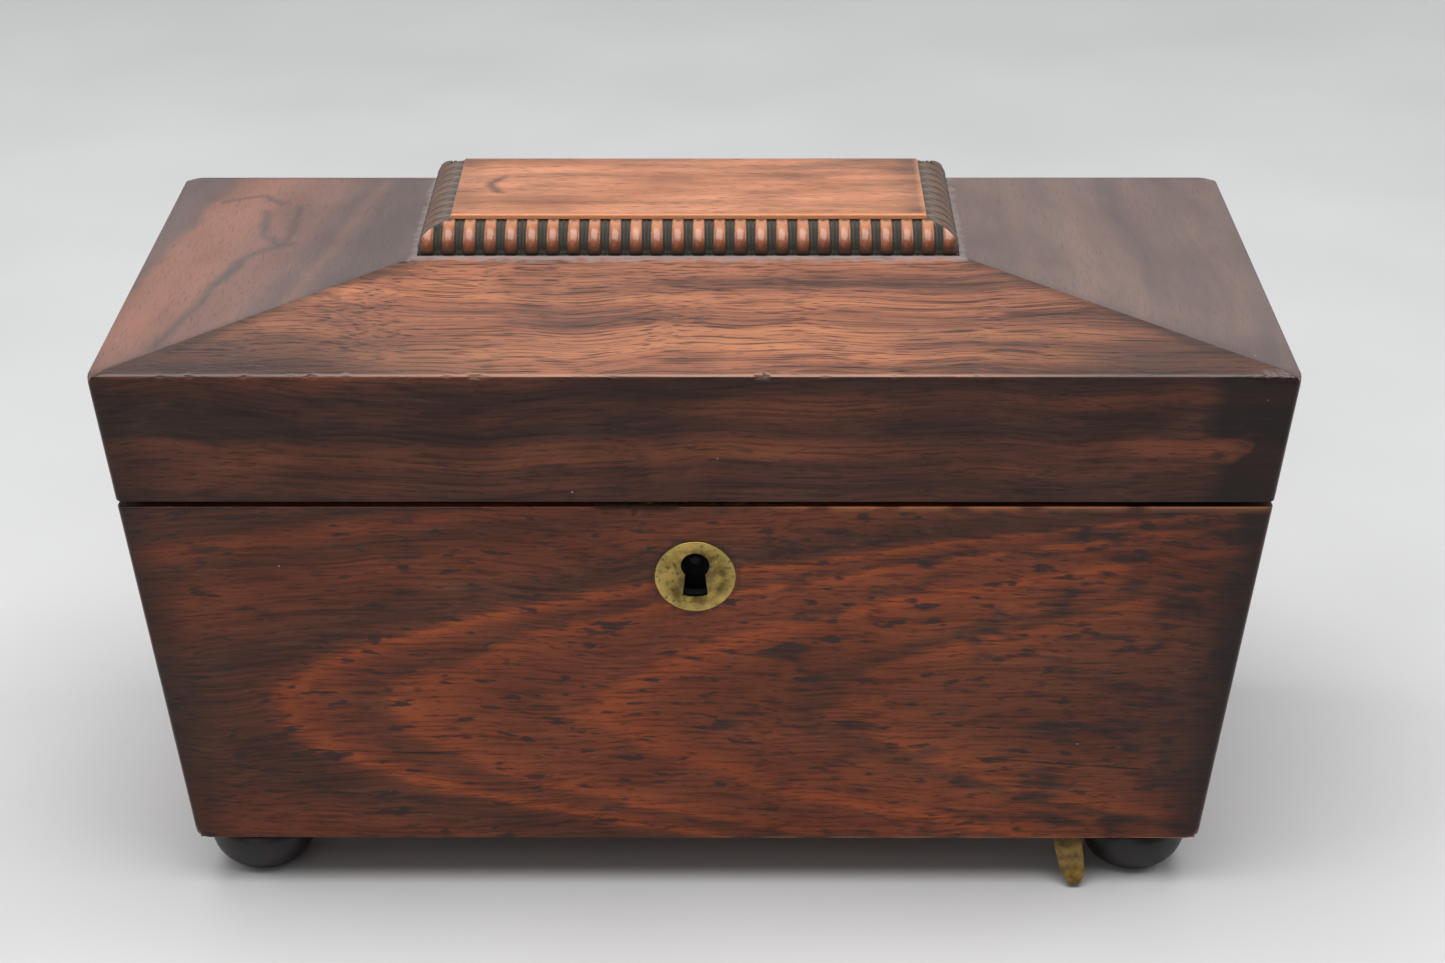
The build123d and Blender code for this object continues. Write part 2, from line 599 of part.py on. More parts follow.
def tablet_parts():
    base = TABLET_BASE - VENEER
    top = TOP_Z - TABLET_TOP
    board_w, board_d = TABLET_TOP_W - 2 * TABLET_OVERHANG, TABLET_TOP_D - 2 * TABLET_OVERHANG
    parts = {"tablet_board": Pos(TABLET_X, 0, (base + top) / 2) * Box(board_w, board_d, top - base)}
    sheet = Pos(TABLET_X, 0, TOP_Z - TABLET_TOP / 2) * Box(TABLET_TOP_W, TABLET_TOP_D, TABLET_TOP)
    parts["tablet_top"] = chamfer(sheet.edges().group_by(Axis.Z)[-1], 0.35)
    for side, turn, length, reach, inner, count in (
        ("front", 0, TABLET_W, TABLET_D / 2, board_d / 2, RIBS_LONG),
        ("back", 180, TABLET_W, TABLET_D / 2, board_d / 2, RIBS_LONG),
        ("left", -90, TABLET_D, TABLET_W / 2, board_w / 2, RIBS_SHORT),
        ("right", 90, TABLET_D, TABLET_W / 2, board_w / 2, RIBS_SHORT),
    ):
        strip = gadroon_strip(length, reach, inner, count, base)
        parts[f"gadroon_{side}"] = Pos(TABLET_X, 0, 0) * Rot(0, 0, turn) * strip
    return parts


def gadroon_strip(length, reach, inner, count, base):
    """A ribbed quarter-round strip whose front is at y = -reach and whose back is at y = -inner."""
    centre_y = -(reach - MOULD_R)
    core_r = MOULD_R - RIB_PROUD
    pitch = length / count
    round_bar = Rot(0, 90, 0) * Cylinder(core_r, length)
    ribs = [
        Pos((n + 0.5) * pitch - length / 2, 0, 0) * Rot(0, 90, 0) * Cylinder(MOULD_R, RIB_W)
        for n in range(count)
    ]
    bar = Pos(0, centre_y, TABLET_BASE) * round_bar.fuse(*ribs)
    strip = bar & slab(-length, length, -reach - 1, centre_y, TABLET_BASE, TABLET_BASE + 20)
    strip += slab(-length / 2, length / 2, centre_y - core_r, centre_y, base, TABLET_BASE + 0.5)
    strip += slab(-length / 2, length / 2, centre_y, -inner, base, TABLET_BASE + MOULD_R)
    half, cut = length / 2, MOULD_R + 5
    plan = [(-half, -reach), (half, -reach), (half - cut, cut - reach), (cut - half, cut - reach)]
    return one(strip & prism(plan, base, TOP_Z))


# ---------------------------------------------------------------- tape under the base
def tape():
    """A torn strip of old tape, stuck under the base and hanging to the table in front."""
    edge = -half_d(BASE_Z)
    stuck = slab(-TAPE_W / 2, TAPE_W / 2, edge + 4, edge + 26, BASE_Z - TAPE_T, BASE_Z)
    path = [(edge + 4, BASE_Z), (edge + 1.4, 12.4), (edge + 0.2, 7.0), (edge - 1.4, 0.6)]
    back = [(y + TAPE_T * 1.2, z) for y, z in reversed(path)]
    back[-1] = (edge + 4 + 0.6, BASE_Z - TAPE_T)
    hang = extrude(make_face(Plane.YZ * Polyline(*path, *back, close=True)), TAPE_W, both=True)
    hang &= extrude(make_face(Plane.XZ * Polyline(*TAPE_END, close=True)), FAR, both=True)
    return Pos(TAPE_X, 0, 0) * one(stuck + hang)


def all_parts():
    parts = case_parts()
    for name, (x, y) in zip(("front_left", "front_right", "back_left", "back_right"), foot_places()):
        parts[f"foot_{name}"] = Pos(x, y, 0) * foot()
    parts |= fittings()
    parts |= inner_lids()
    parts["mixing_bowl"] = bowl()
    for make in (lock_plate, lock_cap, lock_bolt, lock_lever, escutcheon, link_plate):
        parts[make.__name__] = make()
    parts |= lid_parts()
    parts |= tablet_parts()
    for side, x in (("left", -HINGE_X), ("right", HINGE_X)):
        parts[f"hinge_case_leaf_{side}"] = hinge_leaf(x, CASE_LEAF_Z, (0, 2), CASE_HOLES[:6])
        parts[f"hinge_lid_leaf_{side}"] = hinge_leaf(x, LID_LEAF_Z, (1,), LID_HOLES[:6])
    parts["hinge_pins"] = group([hinge_pin(-HINGE_X), hinge_pin(HINGE_X)])
    case_screws = [screw(x, y, CASE_LEAF_TOP, -1) for x, y in LEAF_SCREWS]
    case_screws += [screw(x, y, SELVEDGE_TOP, -1) for x, y in LOCK_SCREWS]
    parts["case_screws"] = group(case_screws)
    lid_screws = [screw(x, y, LID_LEAF_Z, 1) for x, y in LEAF_SCREWS]
    lid_screws += [screw(x, y, LINK_BOTTOM, 1) for x, y in LINK_SCREWS]
    parts["lid_screws"] = group(lid_screws)
    parts["tape_strip"] = tape()
    return parts


if __name__ == "__main__":
    os.makedirs("parts", exist_ok=True)
    made = all_parts()
    for name, shape in made.items():
        export_step(shape, f"parts/{name}.step")
    print(len(made), "parts")
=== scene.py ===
"""Sarcophagus tea caddy in rosewood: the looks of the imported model.

Lengths are in millimetres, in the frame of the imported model, and become metres where a mesh is made.
"""

import math

import bmesh
import bpy
from mathutils import Matrix, Vector, noise


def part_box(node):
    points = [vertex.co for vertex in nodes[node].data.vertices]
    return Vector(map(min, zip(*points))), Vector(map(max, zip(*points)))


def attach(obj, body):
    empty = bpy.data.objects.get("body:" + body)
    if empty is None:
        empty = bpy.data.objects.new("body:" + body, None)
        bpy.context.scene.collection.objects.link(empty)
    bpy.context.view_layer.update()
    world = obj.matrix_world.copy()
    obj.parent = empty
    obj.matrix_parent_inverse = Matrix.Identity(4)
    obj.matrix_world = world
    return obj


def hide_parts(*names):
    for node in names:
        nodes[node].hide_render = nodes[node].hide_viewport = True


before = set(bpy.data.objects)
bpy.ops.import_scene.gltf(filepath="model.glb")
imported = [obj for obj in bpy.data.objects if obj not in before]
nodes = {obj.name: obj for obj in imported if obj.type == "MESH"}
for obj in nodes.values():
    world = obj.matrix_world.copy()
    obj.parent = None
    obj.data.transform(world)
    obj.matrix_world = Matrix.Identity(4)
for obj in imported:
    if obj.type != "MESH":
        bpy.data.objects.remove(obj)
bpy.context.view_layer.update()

# ============================================================ studio
# A long lens looks down at the front of the box from a little under arm's length. The box
# stands on a pale table that turns up into a pale wall, under one large soft light.
VIEW_FROM = (11.2, -827.9, 448.5)
VIEW_DOWN, VIEW_ASIDE, VIEW_ROLL = 0.4055, -0.0054, -0.0018
FILM_WIDTH, FRAME_WIDTHS_AWAY = 36.0, 2.2145

MM = 0.001  # in metres
WELD = 0.000002  # points closer than this, in metres, are joined


def srgb(code):
    """A colour from its sRGB hex value, turned to linear."""
    parts = [int(code[i : i + 2], 16) / 255 for i in (1, 3, 5)]
    return (*[c / 12.92 if c <= 0.04045 else ((c + 0.055) / 1.055) ** 2.4 for c in parts], 1.0)


def first_output(made):
    """The output that a node gives with its present settings."""
    return next(socket for socket in made.outputs if socket.enabled)


def node(tree, kind, inputs=None, stops=None, **settings):
    """Adds one node. An input is given by name or number, as a value, a socket or a node."""
    made = tree.nodes.new("ShaderNode" + kind)
    for key, value in settings.items():
        setattr(made, key, value)
    for key, value in (inputs or {}).items():
        value = first_output(value) if isinstance(value, bpy.types.Node) else value
        if isinstance(value, bpy.types.NodeSocket):
            tree.links.new(value, made.inputs[key])
        else:
            made.inputs[key].default_value = value
    if stops:
        ramp = made.color_ramp.elements
        while len(ramp) < len(stops):
            ramp.new(0.5)
        for element, (place, code) in zip(ramp, stops):
            element.position = place
        for element, (place, code) in zip(ramp, stops):
            element.color = srgb(code)
    return made


def new_material(name):
    """An empty material and its node tree."""
    material = bpy.data.materials.new(name)
    material.use_nodes = True
    material.node_tree.nodes.clear()
    return material, material.node_tree


camera = bpy.data.objects.new("camera", bpy.data.cameras.new("camera"))
camera.data.sensor_width = FILM_WIDTH
camera.data.lens = FILM_WIDTH * FRAME_WIDTHS_AWAY
camera.data.clip_end = 20
turn = Matrix.Rotation(-VIEW_ASIDE, 4, "Z") @ Matrix.Rotation(math.pi / 2 - VIEW_DOWN, 4, "X")
turn = turn @ Matrix.Rotation(VIEW_ROLL, 4, "Z")
camera.matrix_world = Matrix.Translation(Vector(VIEW_FROM) * MM) @ turn
bpy.context.scene.collection.objects.link(camera)
bpy.context.scene.camera = camera
bpy.context.scene.view_settings.view_transform = "Standard"


def make(name, points, faces, smooth_angle=35.0):
    """A mesh object from points in millimetres. Edges sharper than smooth_angle stay crisp."""
    mesh = bpy.data.meshes.new(name)
    mesh.from_pydata([Vector(p) * MM for p in points], [], faces)
    builder = bmesh.new()
    builder.from_mesh(mesh)
    bmesh.ops.remove_doubles(builder, verts=builder.verts, dist=WELD)
    bmesh.ops.recalc_face_normals(builder, faces=builder.faces)
    builder.to_mesh(mesh)
    builder.free()
    mesh.shade_smooth()
    mesh.set_sharp_from_angle(angle=math.radians(smooth_angle))
    piece = bpy.data.objects.new(name, mesh)
    bpy.context.scene.collection.objects.link(piece)
    return piece


TABLE_FRONT, TABLE_BACK, TABLE_SIDE = -2500, 900, 4000
WALL_CURVE, WALL_TOP, CURVE_STEPS = 700, 3200, 24


def floor_sheet():
    """The table top and the wall behind it, as one sheet with a wide curve between them."""
    turns = [math.pi / 2 * n / CURVE_STEPS for n in range(1, CURVE_STEPS + 1)]
    profile = [(TABLE_FRONT, 0), (TABLE_BACK, 0)]
    profile += [
        (TABLE_BACK + WALL_CURVE * math.sin(turn), WALL_CURVE * (1 - math.cos(turn)))
        for turn in turns
    ]
    profile.append((TABLE_BACK + WALL_CURVE, WALL_TOP))
    points = [(x, y, z) for x in (-TABLE_SIDE, TABLE_SIDE) for y, z in profile]
    count = len(profile)
    faces = [(n, n + 1, n + 1 + count, n + count) for n in range(count - 1)]
    return make("studio_floor", points, faces)


def painted_board():
    """Matt emulsion on board: an even pale grey, very faintly mottled by the roller."""
    material, tree = new_material("painted_board")
    where = node(tree, "TexCoord").outputs["Object"]
    mottle = node(tree, "TexNoise", {"Vector": where, "Scale": 6.0})
    tint = node(tree, "ValToRGB", {0: mottle}, stops=[(0.3, "#b3b3b3"), (0.7, "#bbbbbb")])
    shader = node(tree, "BsdfPrincipled", {"Base Color": tint, "Roughness": 0.55})
    node(tree, "OutputMaterial", {"Surface": shader})
    return material


backdrop = floor_sheet()
backdrop.data.materials.append(painted_board())

world = bpy.data.worlds.new("studio_air")
world.use_nodes = True
sky = world.node_tree.nodes["Background"]
sky.inputs["Color"].default_value = srgb("#dfe3e8")
sky.inputs["Strength"].default_value = 0.31
bpy.context.scene.world = world

# Each light: name, place, aimed point, width, depth, watts.
SOFT_LIGHTS = [
    ("overhead", (-60, -330, 1550), (0, -40, 0), 1800, 1400, 43.0),
    ("front_fill", (-500, -1500, 900), (0, 0, 80), 1200, 900, 3.0),
    ("left_wall", (-1500, 200, 700), (0, 0, 120), 900, 900, 8.0),
    ("right_wall", (1500, 300, 700), (0, 0, 120), 900, 900, 9.0),
]
for name, place, aim, width, depth, watts in SOFT_LIGHTS:
    lamp = bpy.data.lights.new(name, "AREA")
    lamp.shape = "RECTANGLE"
    lamp.size, lamp.size_y, lamp.energy = width * MM, depth * MM, watts
    light = bpy.data.objects.new(name, lamp)
    light.location = Vector(place) * MM
    light.rotation_euler = (Vector(aim) - Vector(place)).to_track_quat("-Z", "Y").to_euler()
    bpy.context.scene.collection.objects.link(light)


# ============================================================ carcase
# The boards under the veneer: planed mahogany, glued at the corners and never polished. They
# show only inside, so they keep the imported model's shape and take a plain wood finish.
def settle(piece, material, body, slot, *replaced):
    """Finishes a piece, fixes it to its body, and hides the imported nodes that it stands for."""
    piece.data.materials.append(material)
    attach(piece, body)
    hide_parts(*replaced)


def dress(material, *names):
    """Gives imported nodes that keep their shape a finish."""
    for name in names:
        for holder in nodes[name].material_slots:
            holder.material = material


def grain(tree, place, length, width, detail=2.0):
    """Noise drawn out along the wood: marks about length by width."""
    scale = (1 / length, 1 / width, 1 / width)
    drawn = node(tree, "VectorMath", {0: place, 1: scale}, operation="MULTIPLY")
    return node(tree, "TexNoise", {"Vector": drawn, "Scale": 1.0, "Detail": detail})


def line_distance(tree, place, corners):
    """How far a point is from a bent line, which is given by its corners."""
    nearest = None
    for start, end in zip(corners, corners[1:]):
        run = Vector(end) - Vector(start)
        off = node(tree, "VectorMath", {0: place, 1: start}, operation="SUBTRACT")
        unit = run / run.length_squared
        share = node(tree, "VectorMath", {0: off, 1: unit}, operation="DOT_PRODUCT")
        share = node(tree, "Clamp", {0: share})
        along = node(tree, "VectorMath", {0: run, "Scale": share}, operation="SCALE")
        away = node(tree, "VectorMath", {0: off, 1: along}, operation="DISTANCE")
        if nearest:
            away = node(tree, "Math", {0: nearest, 1: away}, operation="MINIMUM")
        nearest = away
    return nearest


def in_mm(tree, stretch=(1, 1, 1)):
    """The point being shaded, in millimetres; stretch draws an axis out, and 0 drops it."""
    where = node(tree, "TexCoord").outputs["Object"]
    scale = [share / MM for share in stretch]
    return node(tree, "VectorMath", {0: where, 1: scale}, operation="MULTIPLY")


def planed_wood(name, turn, tones, gloss):
    """Bare straight-grained wood: soft bands, short open pores, and a dull surface."""
    material, tree = new_material(name)
    where = node(tree, "TexCoord").outputs["Object"]
    place = node(
        tree, "Mapping", {0: where, "Rotation": (0, 0, turn), "Scale": (1000, 1000, 1000)}
    )
    bands = grain(tree, place, 160, 7, 4)
    # Mahogany's pores are about 0.2 mm wide; drawn at 0.5 mm so that they show.
    pores = grain(tree, place, 6, 0.5, 1)
    colour = node(
        tree, "ValToRGB", {0: bands}, stops=[(0.3, tones[0]), (0.52, tones[1]), (0.7, tones[2])]
    )
    pore_mask = node(tree, "MapRange", {0: pores, 1: 0.58, 2: 0.7, 3: 0.0, 4: 0.7})
    colour = node(tree, "Mix", {0: pore_mask, 6: colour, 7: srgb(tones[0])}, data_type="RGBA")
    bump = node(tree, "Bump", {"Height": pores, "Strength": 0.25, "Distance": 0.0002}, invert=True)
    shader = node(tree, "BsdfPrincipled", {
        "Base Color": colour, "Roughness": gloss, "Normal": bump,
    })
    node(tree, "OutputMaterial", {"Surface": shader})
    return material


ALONG_X, ALONG_Y = 0.0, -math.pi / 2
MAHOGANY = ("#5b3622", "#80502f", "#96623c")
mahogany_x = planed_wood("planed_mahogany_long", ALONG_X, MAHOGANY, 0.62)
mahogany_y = planed_wood("planed_mahogany_ends", ALONG_Y, MAHOGANY, 0.62)
dress(mahogany_x, "case_front_board", "case_back_board", "case_bottom_board", "ledge_strips")
dress(mahogany_x, "lid_front_board", "lid_back_board", "lid_top_board")
dress(mahogany_y, "case_left_board", "case_right_board", "lid_left_board", "lid_right_board")
dress(mahogany_y, "partition_left", "partition_right")


# ============================================================ case veneers
# Saw-cut Brazilian rosewood, about 1 mm thick, glued to each side and mitred at the corners,
# then French polished. The front is one flat-sawn leaf with loops of figure that open to the
# right; two centuries of wax have darkened its margins, rounded its corners and let it crack.
# Painted shade darkens its rounded corners and the gap round the plate.
VENEER = 1.0
WEAR_SHARED = 4.0  # how far from an edge two leaves wear away together
MITRE, FREE = math.radians(45), math.radians(90)  # how far a rounding turns at each kind of edge


def box_mm(name):
    """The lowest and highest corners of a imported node, in millimetres."""
    return [corner * 1000 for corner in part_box(name)]


SLOPE_LOW, SLOPE_HIGH = box_mm("slope_front_veneer")
RIM_X, RIM_Y = SLOPE_HIGH.x, -SLOPE_LOW.y
RIM_Z = box_mm("lid_front_veneer")[1].z + VENEER
CASE_LOW, CASE_HIGH = [corner.z for corner in box_mm("case_front_veneer")]
TAPER = (RIM_X - box_mm("case_front_veneer")[1].x) / (RIM_Z - CASE_HIGH)

PLATE_LOW, PLATE_HIGH = box_mm("escutcheon")
PLATE_R = (PLATE_HIGH.x - PLATE_LOW.x) / 2
PLATE_DOWN = CASE_HIGH - (PLATE_LOW.z + PLATE_HIGH.z) / 2


def shell_x(z):
    """Half the width of the tapered box at a height."""
    return RIM_X - TAPER * (RIM_Z - z)


def shell_y(z):
    """Half the depth of the tapered box at a height."""
    return RIM_Y - TAPER * (RIM_Z - z)


def rounded_lines(near, far, length, step):
    """Distances from the near edge and depths below the face, for the grid lines of a veneer.

    near and far are (radius, turn): the rounding's radius, and how far it turns before the
    veneer ends: a right angle at a free edge, or half the corner at a mitre.
    """
    def arc(radius, turn_by, steps=5):
        reach = radius if turn_by == FREE else radius * math.tan(turn_by)
        angles = [turn_by * (1 - n / steps) for n in range(steps + 1)]
        return [(reach - radius * math.sin(a), radius * (1 - math.cos(a))) for a in angles]

    start, end = arc(*near), arc(*far)
    low, high = start[-1][0], length - end[-1][0]
    cells = max(2, round((high - low) / step))
    middle = [(low + (high - low) * n / cells, 0.0) for n in range(1, cells)]
    return start + middle + [(length - d, depth) for d, depth in reversed(end)]


def facing(corners):
    """The outward normal of a leaf, from its corners."""
    low_left, low_right, high_left = (Vector(corners[n]) for n in (0, 1, 3))
    return (low_right - low_left).cross(high_left - low_left).normalized()


def leaf_faces(columns, rows):
    """Faces of a closed leaf: a grid of points, the same grid again behind it, and the edges."""
    total = columns * rows
    faces = []
    for row in range(rows - 1):
        for column in range(columns - 1):
            n = row * columns + column
            quad = (n, n + 1, n + 1 + columns, n + columns)
            faces += [quad, tuple(total + k for k in reversed(quad))]
    rim = list(range(columns)) + [row * columns + columns - 1 for row in range(1, rows)]
    rim += [(rows - 1) * columns + column for column in range(columns - 2, -1, -1)]
    rim += [row * columns for row in range(rows - 2, 0, -1)]
    for n, here in enumerate(rim):
        there = rim[(n + 1) % len(rim)]
        faces.append((there, here, total + here, total + there))
    return faces


def fade(value, low, high):
    """0 below low, 1 above high, and smooth between; low may be the larger."""
    t = max(0.0, min(1.0, (value - low) / (high - low)))
    return t * t * (3 - 2 * t)


def veneer(name, outer, inner, edges, step, relief, beside=(None,) * 4):
    """A closed leaf of veneer with rounded edges.

    outer and inner are the corners of its two faces, anticlockwise from the lower left as seen
    from outside. edges are (radius, turn) for the left, right, lower and upper edge. relief
    takes a point and gives how deep it is worn below the face, how dark it is from dirt and
    painted shade, and how pale from bare wood and painted highlight.
    beside holds the normals of the leaves across those edges: near them wear goes inwards
    halfway between the two leaves, so that both wear away together.
    """
    corners = [Vector(c) for c in outer]
    backs = [Vector(c) for c in inner]
    normal = facing(outer)
    bottom, top = corners[1] - corners[0], corners[2] - corners[3]
    width, height = max(bottom.length, top.length), (corners[3] - corners[0]).length
    across = bottom.normalized()
    rise = ((corners[3] + corners[2]) - (corners[0] + corners[1])) / 2
    rise_length = (rise - across * rise.dot(across)).length
    slant = height / rise_length
    columns = rounded_lines(edges[0], edges[1], width, step)
    rows = rounded_lines(edges[2], edges[3], rise_length, step)
    points, back_points, darkness, bare_and_highlit_marks = [], [], [], []
    for up, row_depth in rows:
        t = up / rise_length
        left, right = corners[0].lerp(corners[3], t), corners[1].lerp(corners[2], t)
        back_left, back_right = backs[0].lerp(backs[3], t), backs[1].lerp(backs[2], t)
        row_width = (right - left).length
        for along, column_depth in columns:
            # Roundings keep their width where the leaf narrows; only the middle shrinks.
            share = along / width
            if column_depth and share < 0.5:
                share = min(0.5, along * slant / row_width)
            elif column_depth:
                share = max(0.5, 1 - (width - along) * slant / row_width)
            point = left.lerp(right, share)
            worn, dark, bare_and_highlit = relief(point, row_width)
            off_edges = (share * row_width, (1 - share) * row_width, up, rise_length - up)
            inwards = normal.copy()
            for off_edge, beyond in zip(off_edges, beside):
                if beyond and worn:
                    inwards += beyond * fade(off_edge, WEAR_SHARED, 0.0)
            points.append(point - normal * (row_depth + column_depth) - inwards.normalized() * worn)
            back_points.append(back_left.lerp(back_right, share))
            darkness.append(dark)
            bare_and_highlit_marks.append(bare_and_highlit)
    piece = make(name, points + back_points, leaf_faces(len(columns), len(rows)))
    for label, values in (("grime_and_shade", darkness), ("bare_and_highlit", bare_and_highlit_marks)):
        layer = piece.data.attributes.new(label, "FLOAT", "POINT")
        for n, mark in enumerate(layer.data):
            mark.value = values[n % len(values)]
    return piece


def rosewood(name, turn, tones, offset=0.0, streaks=0.55, gloss=0.34, figure=None, flecks=0.0,
             lines=(34, 0.9), mirror=0.5):
    """French-polished rosewood.

    Brown-black bands and fine ink-like streaks run along the leaf, with short open pores; the
    polish gives a soft, deep gloss, and wax dulls it in patches. tones are dark, middle, light.
    mirror is how strongly it reflects: less where old wax has perished, as on the upright sides.
    """
    material, tree = new_material(name)
    where = node(tree, "TexCoord").outputs["Object"]
    place = node(
        tree,
        "Mapping",
        {0: where, "Rotation": (0, 0, turn), "Scale": (1000, 1000, 1000), 1: (offset,) * 3},
    )
    wander = node(tree, "TexNoise", {"Vector": place, "Scale": 1 / 75, "Detail": 2.0})
    bent = node(
        tree, "VectorMath", {0: wander.outputs["Color"], 1: (0, 16, 16), 2: place},
        operation="MULTIPLY_ADD",
    )
    bands = grain(tree, bent, 170, 9, 4)
    streak = grain(tree, bent, *lines, 3)
    # The pores are about 0.15 mm wide and 2 mm long; drawn three times as wide to show.
    pores = grain(tree, place, 4.5, 0.45, 1)
    cloud = grain(tree, place, 45, 22, 2)
    if figure:
        colour = figure(tree)
    else:
        colour = node(
            tree, "ValToRGB", {0: bands},
            stops=[(0.32, tones[0]), (0.48, tones[1]), (0.66, tones[2])],
        )
    inky = node(tree, "MapRange", {0: streak, 1: 0.5, 2: 0.33, 3: 0.0, 4: streaks})
    colour = node(
        tree, "Mix", {0: inky, 6: colour, 7: srgb("#4c3c38")}, data_type="RGBA",
        blend_type="MULTIPLY",
    )
    warm = node(tree, "MapRange", {0: streak, 1: 0.56, 2: 0.72, 3: 0.0, 4: streaks * 0.5})
    colour = node(tree, "Mix", {0: warm, 6: colour, 7: srgb(tones[2])}, data_type="RGBA")
    dull = node(tree, "MapRange", {0: cloud, 1: 0.4, 2: 0.68, 3: 0.0, 4: 0.45})
    colour = node(
        tree, "Mix", {0: dull, 6: colour, 7: srgb("#8a7f80")}, data_type="RGBA",
        blend_type="MULTIPLY",
    )
    pits = node(tree, "MapRange", {0: pores, 1: 0.6, 2: 0.7, 3: 0.0, 4: 0.6})
    colour = node(tree, "Mix", {0: pits, 6: colour, 7: srgb("#1d1412")}, data_type="RGBA")
    if flecks:
        # Dark mineral flecks, some 2 mm high and a finger's width long.
        spots = grain(tree, bent, 8, 2.2, 2)
        spots = node(tree, "MapRange", {0: spots, 1: 0.6, 2: 0.68, 3: 0.0, 4: flecks})
        colour = node(tree, "Mix", {0: spots, 6: colour, 7: srgb("#2a1d1b")}, data_type="RGBA")
    # Darkened from the mesh: by old wax and dirt, and in places by painted shade.
    grime_and_shade = node(tree, "Attribute", attribute_name="grime_and_shade").outputs["Fac"]
    colour = node(tree, "Mix", {0: grime_and_shade, 6: colour, 7: srgb("#1a1110")}, data_type="RGBA")
    # Paled from the mesh: by bare wood, and along some edges by a painted highlight.
    bare_and_highlit = node(tree, "Attribute", attribute_name="bare_and_highlit").outputs["Fac"]
    colour = node(tree, "Mix", {0: bare_and_highlit, 6: colour, 7: srgb("#b5754c")}, data_type="RGBA")
    # A few specks of pale dust, under half a millimetre across.
    dust = node(tree, "TexVoronoi", {"Vector": place, "Scale": 0.085})
    chosen = node(tree, "SeparateXYZ", {0: dust.outputs["Color"]}).outputs["X"]
    chosen = node(tree, "Math", {0: chosen, 1: 0.6}, operation="GREATER_THAN")
    speck = node(tree, "MapRange", {0: dust.outputs["Distance"], 1: 0.03, 2: 0.012, 3: 0.0, 4: 0.5})
    speck = node(tree, "Math", {0: speck, 1: chosen}, operation="MULTIPLY")
    colour = node(tree, "Mix", {0: speck, 6: colour, 7: srgb("#b5aaa0")}, data_type="RGBA")
    wax = node(tree, "MapRange", {0: cloud, 1: 0.3, 2: 0.7, 3: gloss - 0.05, 4: gloss + 0.1})
    handled = node(tree, "Math", {0: bare_and_highlit, 1: -0.12, 2: wax}, operation="MULTIPLY_ADD")
    height = node(tree, "MapRange", {0: pores, 1: 0.56, 2: 0.72, 3: 1.0, 4: 0.0})
    height = node(tree, "Math", {0: streak, 1: 0.5, 2: height}, operation="MULTIPLY_ADD")
    bump = node(tree, "Bump", {"Height": height, "Strength": 0.25, "Distance": 0.00012})
    shader = node(tree, "BsdfPrincipled", {
        "Base Color": colour, "Roughness": handled, "IOR": 1.45, "Specular IOR Level": mirror,
        "Normal": bump,
    })
    node(tree, "OutputMaterial", {"Surface": shader})
    return material


# Hairline cracks in the front: x and height of the ends of each.
FRONT_CRACKS = [
    ((-137.0, 0, 38.8), (-121.0, 0, 38.2), (-106.8, 0, 36.6)),
    ((-104.0, 0, 44.1), (-76.0, 0, 43.2), (-39.6, 0, 42.2)),
    ((75.0, 0, 41.6), (108.0, 0, 38.9), (141.0, 0, 36.2)),
]


